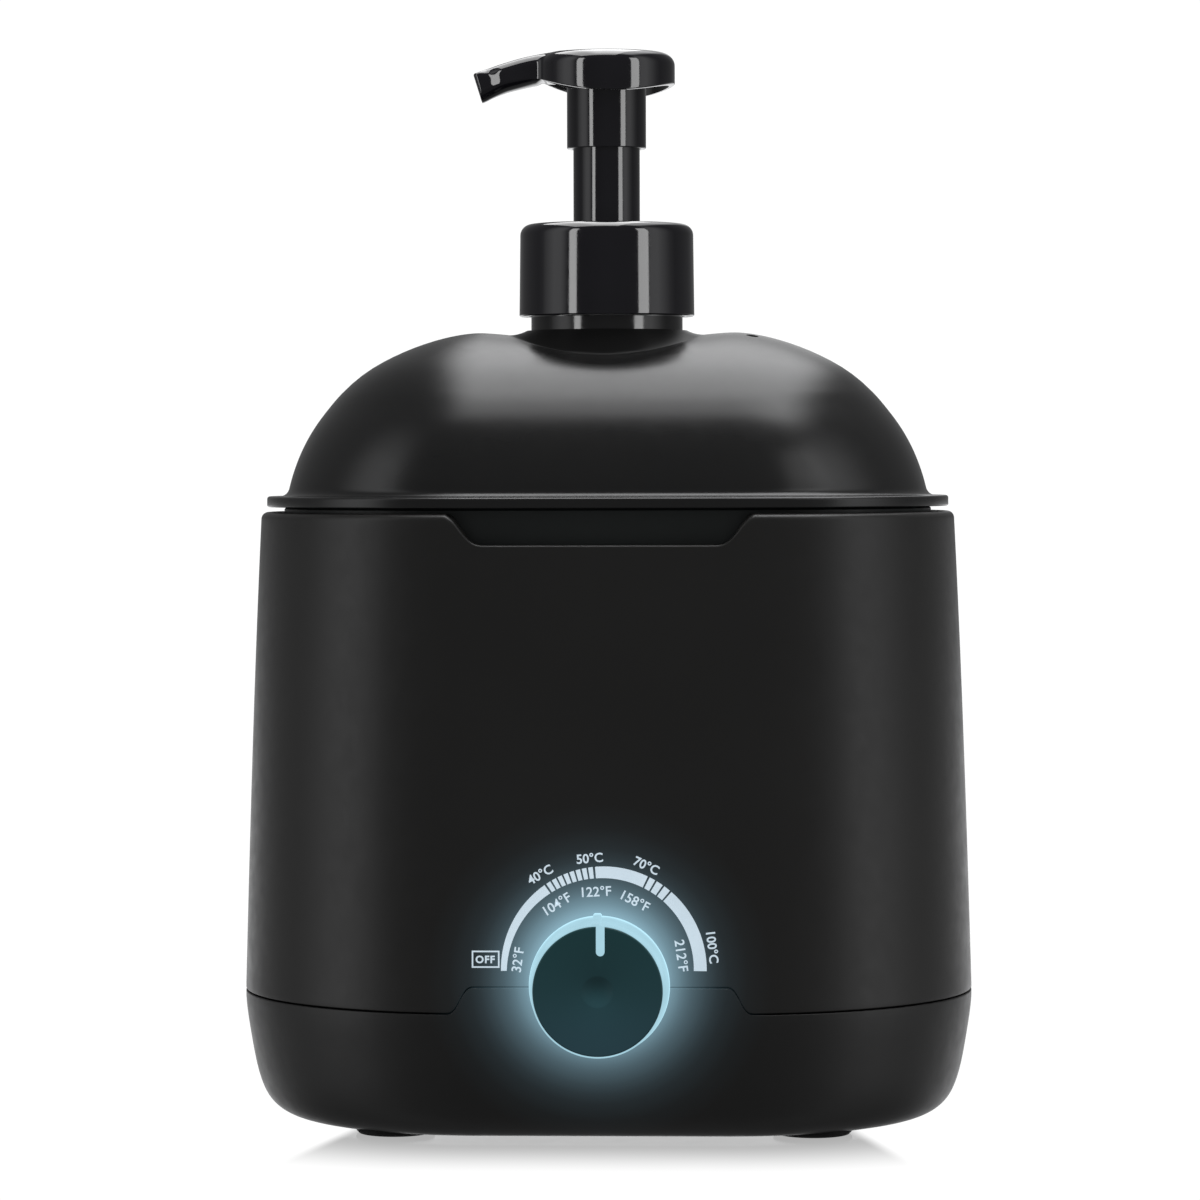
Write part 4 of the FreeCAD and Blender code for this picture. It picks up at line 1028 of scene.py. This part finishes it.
# hollow under the disc, leaving the nozzle's channel standing in it
open_a = math.pi - math.asin(6.6 / 17.2)
keyhole = [(17.2 * math.cos(t), 17.2 * math.sin(t)) for t in np.linspace(-open_a, open_a, 96)] + [(-8.0, 6.6), (-8.0, -6.6)]
boolean(head_ob, [upright("hollow", keyhole, 270.0, 290.0),
                  upright("under_channel", [(-16.4, -6.5), (-7.9, -6.5), (-7.9, 6.5), (-16.4, 6.5)], 270.0, 283.9)])


def turned(name, prof, n_=128, axis="z", centre=(0.0, 0.0, 0.0)):
    """Closed ring turned from (r, h) points, none of them on the axis."""
    m_ = len(prof)
    v_ = []
    for r_, h_ in prof:
        for j in range(n_):
            a_ = 2 * math.pi * j / n_
            p_ = (r_ * math.cos(a_), r_ * math.sin(a_), h_) if axis == "z" else (r_ * math.cos(a_), h_, r_ * math.sin(a_))
            v_.append((p_[0] + centre[0], p_[1] + centre[1], p_[2] + centre[2]))
    return solid(name, v_, grid_faces(m_, n_, wrap_rows=True))


skirt = rounded([(9.4, 265.6, 0.3), (10.86, 265.6, 0.35), (10.86, 290.3), (9.4, 290.3)], step=15)
boolean(head_ob, [turned("skirt_tool", skirt)], "UNION", 38)
boolean(head_ob, [rod("outlet", 1.6, (-29.0, 0, 283.6), (-40.0, 0, 281.56))], "DIFFERENCE", 38)

# profile table of the bottle's neck ring; no piece is built from it
neck = smooth_table(np.array([(20.8, 0.0), (22.3, 3.7), (26.0, 7.5), (31.0, 12.0), (35.5, 18.0), (38.2, 24.5), (39.0, 29.5)]), 24)

# ---------------------------------------------------------------------------
# knob
# ---------------------------------------------------------------------------
cap_prof = [(0, -80.95)]
for t in np.linspace(0, 1, 16)[1:]:
    cap_prof.append((4.3 * t, -80.95 - 1.05 * (1 - (1 - t ** 1.9) ** 1.25)))
cap_prof += rounded([(5.0, -82.0), (16.9, -82.0, 0.45), (16.9, -80.0, 0), (5.6, -80.0, 0), (5.6, -69.5, 0.2), (0.01, -69.5)], closed=False, step=15)[1:-1]
cap_prof += [(0, -69.5)]
cap_ob = lathe("knob_cap_skin", cap_prof, 192, axis="y", centre=(0, 0, Z_DIAL), closed=False, body="knob", slot="knob_dark", mat=M_KNOB, replaces=("knob_cap",), sharp=30)


def facing(name, outline, y0, y1):
    """Closed prism along Y over an XZ outline."""
    n_ = len(outline)
    v_ = [(x, y0, z) for x, z in outline] + [(x, y1, z) for x, z in outline]
    f_ = [tuple(range(n_))[::-1], tuple(range(n_, 2 * n_))] + [(i, (i + 1) % n_, n_ + (i + 1) % n_, n_ + i) for i in range(n_)]
    return solid(name, v_, f_)


def pointer(w_, top, x_=0.75):
    """Outline of the pointer bar, round at its lower end."""
    c_ = Z_DIAL + 10.4
    return [(x_ + w_ * math.cos(t), c_ + w_ * math.sin(t)) for t in np.linspace(math.pi, 2 * math.pi, 17)] + [(x_ + w_, top), (x_ - w_, top)]


boolean(cap_ob, [facing("cap_slot", pointer(1.14, Z_DIAL + 20.0), -84.0, -80.02)], "DIFFERENCE", 30)

# lens: conical skirt with the web behind the cap, the pointer bar and the rib on top
lens_prof = rounded([(16.95, -81.6, 0.1), (17.3, -81.6, 0.25), (18.5, -67.9, 0.3), (16.7, -67.9, 0.1), (15.6, -78.4), (5.7, -78.4), (5.7, -79.96), (16.95, -79.96)], step=18)
lens_ob = turned("knob_lens_skin", lens_prof, 192, "y", (0, 0, Z_DIAL))
bar_ob = facing("bar_tool", pointer(1.10, Z_DIAL + 17.1), -82.03, -79.0)
rib_side = [(-82.0, 16.98), (-82.02, 17.6), (-81.75, 17.95), (-68.2, 19.12), (-67.9, 18.9), (-67.9, 17.4), (-79.0, 17.0)]
rib_xs = [(-1.5, 0.35), (-1.15, 0.0), (0.35, 0.0), (0.7, 0.35)]
rib_v = []
for x_, cut_ in rib_xs:
    for k_, (y_, h_) in enumerate(rib_side):
        rib_v.append((x_, y_, Z_DIAL + h_ - (cut_ if 1 <= k_ <= 4 else 0.0)))
nr = len(rib_side)
rib_f = grid_faces(4, nr)
rib_f += [tuple(range(nr))[::-1], tuple(range(3 * nr, 4 * nr))]
boolean(lens_ob, [bar_ob, solid("rib_tool", rib_v, rib_f)], "UNION", 30)
lens_ob = link("knob_lens_skin2", lens_ob.data.copy(), "knob", "lens_glow", M_LENS, ("knob_lens",), sharp=30)
bpy.data.objects.remove(bpy.data.objects["knob_lens_skin"])

# return spring, which the head presses together as it goes down; here it is only an own copy of the CAD mesh on the
# pump body
spring_ob = link("pump_spring_skin", nodes["pump_spring"].data.copy(), "pump", "spring_steel", M_SPRING, ("pump_spring",), sharp=None, recalc=False)
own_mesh(spring_ob)

# openings for the light guide in both walls, and the steam vent in the lid
boolean(body_ob, [rod("panel_a", 13.0, (0, -80, Z_DIAL), (0, -50, Z_DIAL), 96)], "DIFFERENCE", 40)
boolean(base_ob, [rod("panel_b", 13.0, (0, -80, Z_DIAL), (0, -50, Z_DIAL), 96)], "DIFFERENCE", 40)
tidy(base_ob, 40)
boolean(lid_ob, [rod("vent", 1.7, (40.0, -8, 200), (40.0, -8, 225), 40)], "DIFFERENCE", 60)


# ---------------------------------------------------------------------------
# dial print on the front: thin raised ink, wrapped on the wall
# ---------------------------------------------------------------------------
PX, PZ, PR = 1.1, 47.0, 26.95
INK = 0.05


def wall_y(z):
    return -np.where(np.asarray(z) < Z_TAB, base_r(z), body_r(z))


def ink_sheet(verts2, faces):
    """Closed thin piece from a flat (x, z) mesh."""
    v2 = np.asarray(verts2, float)
    n_ = len(v2)
    y_ = wall_y(v2[:, 1])
    front = np.stack([v2[:, 0], y_ - INK, v2[:, 1]], 1)
    back = np.stack([v2[:, 0], y_ + 0.15, v2[:, 1]], 1)
    edges = {}
    for f_ in faces:
        for a_, b_ in zip(f_, f_[1:] + f_[:1]):
            edges[(a_, b_)] = edges.get((a_, b_), 0) + 1
    out_f = [tuple(f_) for f_ in faces] + [tuple(i + n_ for i in f_[::-1]) for f_ in faces]
    for (a_, b_) in edges:
        if (b_, a_) not in edges:
            out_f.append((b_, a_, a_ + n_, b_ + n_))
    return np.concatenate([front, back]), out_f


def arc_band(a0, a1, th0, th1, r_out=PR):
    """Band from angle a0 to a1 (degrees from the top, positive to the right), thickness th0 to th1."""
    k = max(2, int(abs(a1 - a0) / 1.0) + 1)
    v_, f_ = [], []
    for i in range(k + 1):
        t = i / k
        a_ = math.radians(a0 + (a1 - a0) * t)
        th_ = th0 + (th1 - th0) * t
        for r_ in (r_out, r_out - th_ / 2, r_out - th_):
            v_.append((PX + r_ * math.sin(a_), PZ + r_ * math.cos(a_)))
    for i in range(k):
        for j in range(2):
            a_, b_ = i * 3 + j, (i + 1) * 3 + j
            f_.append([a_, b_, b_ + 1, a_ + 1])
    return v_, f_


def band_thick(a_):
    return float(np.interp(a_, [-90, -34.8, -5.2, 25.7, 90], [1.52, 2.62, 3.02, 3.18, 3.36]))


ink_v, ink_f = [], []


def add_ink(v2, faces):
    v3, f3 = ink_sheet(v2, faces)
    base = sum(len(q) for q in ink_v)
    ink_v.append(v3)
    ink_f.extend(tuple(i + base for i in f_) for f_ in f3)


def add_band(a0, a1):
    add_ink(*arc_band(a0, a1, band_thick(a0), band_thick(a1)))


add_band(-90.9, -35.1)
for i in range(8):
    a_ = -34.8 + 0.93 + i * 3.6
    add_band(a_, a_ + 2.57)
add_band(-4.8, 25.45)
for a_, b_ in ((26.6, 30.05), (31.15, 35.05), (36.15, 40.1)):
    add_band(a_, b_)
add_band(41.2, 90.9)


def label(text, px, py, turn, cap, heavy, spread=1.0):
    """Lettering centred at a place on the front, turned clockwise by the angle."""
    cu = bpy.data.curves.new("label", "FONT")
    cu.body = text
    cu.size = cap / 0.70
    cu.align_x = "CENTER"
    cu.offset = heavy
    cu.resolution_u = 4
    cu.space_character = spread
    ob = bpy.data.objects.new("label", cu)
    bpy.context.scene.collection.objects.link(ob)
    me_ = bpy.data.meshes.new_from_object(ob.evaluated_get(bpy.context.evaluated_depsgraph_get()))
    bpy.data.objects.remove(ob)
    b_ = bmesh.new()
    b_.from_mesh(me_)
    bmesh.ops.remove_doubles(b_, verts=b_.verts, dist=1e-4)
    bmesh.ops.recalc_face_normals(b_, faces=b_.faces)
    b_.verts.ensure_lookup_table()
    if b_.faces and sum(f_.normal.z * f_.calc_area() for f_ in b_.faces) < 0:
        bmesh.ops.reverse_faces(b_, faces=b_.faces)
    v2 = np.array([(q.co.x, q.co.y) for q in b_.verts])
    fs = [[q.index for q in f_.verts] for f_ in b_.faces if f_.calc_area() > 1e-9]
    b_.free()
    bpy.data.meshes.remove(me_)
    v2[:, 1] -= cap / 2
    v2[:, 0] -= (v2[:, 0].min() + v2[:, 0].max()) / 2
    t = math.radians(turn)
    x_ = v2[:, 0] * math.cos(t) + v2[:, 1] * math.sin(t)
    z_ = -v2[:, 0] * math.sin(t) + v2[:, 1] * math.cos(t)
    add_ink(np.stack([px + x_, py + z_], 1), fs)


def place(x_px, y_px):
    return (x_px - 607.7) * 0.2611 + 2.34, 181.6 + (455 - y_px) * 0.2611


for text, x_px, y_px, turn, cap, heavy in [
        ("40°C", 539, 875.4, -30, 2.37, 0.062), ("50°C", 589, 859, -5, 2.37, 0.062), ("70°C", 646, 866.4, 25, 2.37, 0.062),
        ("100°C", 712, 948.6, 83, 2.37, 0.062), ("32°F", 516.5, 960.8, -82, 2.50, 0.045), ("104°F", 556.3, 904.6, -32, 2.50, 0.045),
        ("122°F", 595.8, 892.4, -3, 2.50, 0.045), ("158°F", 635, 902, 27, 2.50, 0.045), ("212°F", 681, 956.6, 82, 2.50, 0.045),
        ("OFF", 483.9, 960.6, 0, 1.85, 0.09)]:
    label(text, *place(x_px, y_px), turn, cap, heavy, 1.15 if text == "OFF" else 1.0)
# frame round OFF
(bx0, bz1), (bx1, bz0) = place(470.4, 951.9), place(498.3, 969.1)
t_ = 0.40
frame_v = [(bx0, bz0), (bx1, bz0), (bx1, bz1), (bx0, bz1), (bx0 + t_, bz0 + t_), (bx1 - t_, bz0 + t_), (bx1 - t_, bz1 - t_), (bx0 + t_, bz1 - t_)]
add_ink(frame_v, [[0, 1, 5, 4], [1, 2, 6, 5], [2, 3, 7, 6], [3, 0, 4, 7]])
me = mesh_of("dial_print", np.concatenate(ink_v), ink_f)
link("dial_print", me, "housing", None, M_INK_AND_PAINTED_GLOW, (), sharp=20)


# ---------------------------------------------------------------------------
# floor, world, lights
# ---------------------------------------------------------------------------
def calc(nt, op, a, b=None, c=None, clamp=False):
    n = nt.nodes.new("ShaderNodeMath")
    n.operation = op
    n.use_clamp = clamp
    for i, v in enumerate((a, b, c)):
        if v is None:
            continue
        if isinstance(v, (int, float)):
            n.inputs[i].default_value = v
        else:
            nt.links.new(v, n.inputs[i])
    return n.outputs[0]


def step(nt, v, lo, hi, out0=0.0, out1=1.0):
    n = nt.nodes.new("ShaderNodeMapRange")
    n.interpolation_type = "SMOOTHSTEP"
    nt.links.new(v, n.inputs["Value"])
    for k, x in zip(("From Min", "From Max", "To Min", "To Max"), (lo, hi, out0, out1)):
        n.inputs[k].default_value = x
    return n.outputs["Result"]


world = bpy.data.worlds.new("studio")
bpy.context.scene.world = world
world.use_nodes = True
wn = world.node_tree
bg = next(n for n in wn.nodes if n.type == "BACKGROUND")
out = next(n for n in wn.nodes if n.type == "OUTPUT_WORLD")
tcw = wn.nodes.new("ShaderNodeTexCoord")
sp = wn.nodes.new("ShaderNodeSeparateXYZ")
wn.links.new(tcw.outputs["Generated"], sp.inputs[0])
wx, wy, wz = sp.outputs[0], sp.outputs[1], sp.outputs[2]
zc = calc(wn, "MAXIMUM", wz, 0.03)
u = calc(wn, "DIVIDE", wx, zc)
v = calc(wn, "DIVIDE", wy, zc)
box = calc(wn, "MULTIPLY", step(wn, u, -0.34, -0.10), step(wn, u, 0.38, 0.74, 1.0, 0.0))
box = calc(wn, "MULTIPLY", box, step(wn, v, -0.34, -0.12))
box = calc(wn, "MULTIPLY", box, step(wn, v, 0.1, 2.0, 1.0, 0.14))
box = calc(wn, "MULTIPLY", box, step(wn, wz, 0.05, 0.12))
az = calc(wn, "MULTIPLY_ADD", calc(wn, "ARCTAN2", wx, calc(wn, "MULTIPLY", wy, -1.0)), 0.5 / math.pi, 0.5)
rp = wn.nodes.new("ShaderNodeValToRGB")
stops = [(-180, .08), (-165, .06), (-140, .02), (-100, .03), (-92, .12), (-86, .42), (-80, .66), (-72, .98), (-62, 1.0), (-57, .72), (-53, .25), (-50, .0),
         (-30, .0), (0, .03), (40, .02), (54, .05), (58, .4), (63, 1.0), (73, 1.0), (79, .74), (88, .40), (95, .16), (104, .02), (140, .0), (165, .05), (180, .08)]
el = rp.color_ramp.elements
while len(el) < len(stops):
    el.new(0.5)
for e_, (p_, v_) in zip(el, stops):
    e_.position = p_ / 360.0 + 0.5
    e_.color = (v_, v_, v_, 1.0)
wn.links.new(az, rp.inputs["Fac"])
elev = calc(wn, "ARCSINE", wz)
win = calc(wn, "MULTIPLY", step(wn, elev, math.radians(28), math.radians(62), 1.0, 0.0), step(wn, elev, math.radians(-40), math.radians(2), 0.18, 1.0))
side = calc(wn, "MULTIPLY", rp.outputs["Color"], win)
total = calc(wn, "MULTIPLY_ADD", side, 1.0, 0.14)
total = calc(wn, "MULTIPLY_ADD", box, 4.3, total)
# white floor seen low down behind the object
back = wn.nodes.new("ShaderNodeValToRGB")
far = [(0, .02), (60, .03), (100, .08), (120, .16), (130, .28), (140, .50), (150, .82), (160, 1.0), (180, 1.0)]
el = back.color_ramp.elements
while len(el) < len(far):
    el.new(0.5)
for e_, (p_, v_) in zip(el, far):
    e_.position = p_ / 180.0
    e_.color = (v_, v_, v_, 1.0)
wn.links.new(calc(wn, "ABSOLUTE", calc(wn, "MULTIPLY_ADD", az, 2.0, -1.0)), back.inputs["Fac"])
low_part = calc(wn, "MULTIPLY", step(wn, elev, math.radians(-0.5), math.radians(-4.0), 0.0, 1.0), step(wn, elev, math.radians(-18.0), math.radians(-34.0), 1.0, 0.0))
total = calc(wn, "MULTIPLY_ADD", calc(wn, "MULTIPLY", back.outputs["Color"], low_part), 1.0, total)
wn.links.new(total, bg.inputs["Strength"])
bg.inputs["Color"].default_value = (0.985, 0.99, 1.0, 1)
bg2 = wn.nodes.new("ShaderNodeBackground")
bg2.inputs["Color"].default_value = (1, 1, 1, 1)
bg2.inputs["Strength"].default_value = 1.05
mix = wn.nodes.new("ShaderNodeMixShader")
lp = wn.nodes.new("ShaderNodeLightPath")
wn.links.new(lp.outputs["Is Camera Ray"], mix.inputs["Fac"])
wn.links.new(bg.outputs["Background"], mix.inputs[1])
wn.links.new(bg2.outputs["Background"], mix.inputs[2])
wn.links.new(mix.outputs["Shader"], out.inputs["Surface"])

# floor: pale, with a faint mirror image that fades away from the feet
me = bpy.data.meshes.new("floor")
s_ = 2.5
me.from_pydata([(-s_, -s_, 0), (s_, -s_, 0), (s_, s_, 0), (-s_, s_, 0)], [], [(0, 1, 2, 3)])
floor = bpy.data.objects.new("floor", me)
bpy.context.scene.collection.objects.link(floor)
fmat = bpy.data.materials.new("floor_pale")
fmat.use_nodes = True
fn = fmat.node_tree
fn.nodes.clear()
ftc = fn.nodes.new("ShaderNodeTexCoord")
fsp = fn.nodes.new("ShaderNodeSeparateXYZ")
fn.links.new(ftc.outputs["Object"], fsp.inputs[0])
fx = calc(fn, "MAXIMUM", calc(fn, "SUBTRACT", calc(fn, "ABSOLUTE", fsp.outputs[0]), 0.033), 0.0)
fy = calc(fn, "SUBTRACT", fsp.outputs[1], DY * MM)
fd = calc(fn, "SQRT", calc(fn, "ADD", calc(fn, "MULTIPLY", fx, fx), calc(fn, "MULTIPLY", fy, fy)))
emi = fn.nodes.new("ShaderNodeEmission")
emi.inputs["Color"].default_value = (1, 1, 1, 1)
emi.inputs["Strength"].default_value = 1.05
gls = fn.nodes.new("ShaderNodeBsdfGlossy")
gls.inputs["Color"].default_value = (1, 1, 1, 1)
gls.inputs["Roughness"].default_value = 0.10
# the mirror image lies in front of the object, between two lines that spread a little
fwd = calc(fn, "MULTIPLY", fy, -1.0)
side_in = calc(fn, "SUBTRACT", calc(fn, "ABSOLUTE", fsp.outputs[0]), calc(fn, "MULTIPLY_ADD", fwd, 0.235, 0.0595))
keep_in = step(fn, side_in, -0.0035, 0.0025, 1.0, 0.0)
share = calc(fn, "MULTIPLY", calc(fn, "MULTIPLY", step(fn, fd, 0.052, 0.118, 0.60, 0.0), keep_in), step(fn, fwd, 0.0, 0.02))
fmx = fn.nodes.new("ShaderNodeMixShader")
fn.links.new(share, fmx.inputs["Fac"])
fn.links.new(emi.outputs[0], fmx.inputs[1])
fn.links.new(gls.outputs[0], fmx.inputs[2])
trn = fn.nodes.new("ShaderNodeBsdfTransparent")
fm2 = fn.nodes.new("ShaderNodeMixShader")
fn.links.new(step(fn, fd, 0.35, 0.75), fm2.inputs["Fac"])
fn.links.new(fmx.outputs[0], fm2.inputs[1])
fn.links.new(trn.outputs[0], fm2.inputs[2])
fo = fn.nodes.new("ShaderNodeOutputMaterial")
fn.links.new(fm2.outputs[0], fo.inputs["Surface"])
me.materials.append(fmat)
floor.visible_glossy = False
floor.visible_diffuse = False


def area(name, loc, aim, size, size_y, radiance, colour=(1, 1, 1), only=None):
    """Soft light given by its brightness; only: the objects that it lights."""
    d = bpy.data.lights.new(name, "AREA")
    d.shape = "RECTANGLE"
    d.size, d.size_y = size, size_y
    d.energy = radiance * math.pi * size * size_y
    d.color = colour
    o = bpy.data.objects.new(name, d)
    bpy.context.scene.collection.objects.link(o)
    o.location = loc
    o.rotation_mode = "QUATERNION"
    o.rotation_quaternion = (Vector(aim) - Vector(loc)).to_track_quat("-Z", "Y")
    o.visible_camera = False
    if only is not None:
        col = bpy.data.collections.new(name + "_lit")
        for q in only:
            col.objects.link(q)
        o.light_linking.receiver_collection = col
    return o


def around(name, az_, dist, z, width_deg, size_y, radiance, **kw):
    """Light at an azimuth from the front (-Y), positive to the right, upright."""
    a = math.radians(az_)
    return area(name, (dist * math.sin(a), DY * MM - dist * math.cos(a), z), (0, DY * MM, z), 2 * dist * math.tan(math.radians(width_deg / 2)), size_y, radiance, **kw)


def piece(*names):
    return [bpy.data.objects[n] for n in names]


GLOSSY = piece("pump_collar_skin", "pump_guide_skin", "pump_head_skin", "bottle")
around("strip_left", -43.2, 1.2, 0.40, 10.5, 1.3, 7.5, only=GLOSSY)
around("strip_right", 51.2, 1.2, 0.40, 14.5, 1.3, 6.8, only=GLOSSY)
area("overhead", (-0.22, 0.34, 1.29), (-0.22, 0.34, 0.0), 0.95, 1.70, 5.6, only=GLOSSY)
around("lid_right", 52, 1.2, 0.98, 24, 0.70, 0.95, only=piece("lid_skin"))
# the pump's pieces are hidden from glossy rays, so the lid shows no mirror image of them; the dark round the boss is
# painted shade in the lid material
for q in bpy.data.objects:
    if q.name in ("pump_collar_skin", "pump_head_skin", "air_cylinder", "air_piston", "liquid_piston", "pump_spring_skin", "pump_gasket", "inlet_ball", "dip_tube"):
        q.visible_glossy = False

vs = bpy.context.scene.view_settings
vs.view_transform = "Standard"
vs.look = "None"
vs.exposure = 0.0
vs.gamma = 1.0
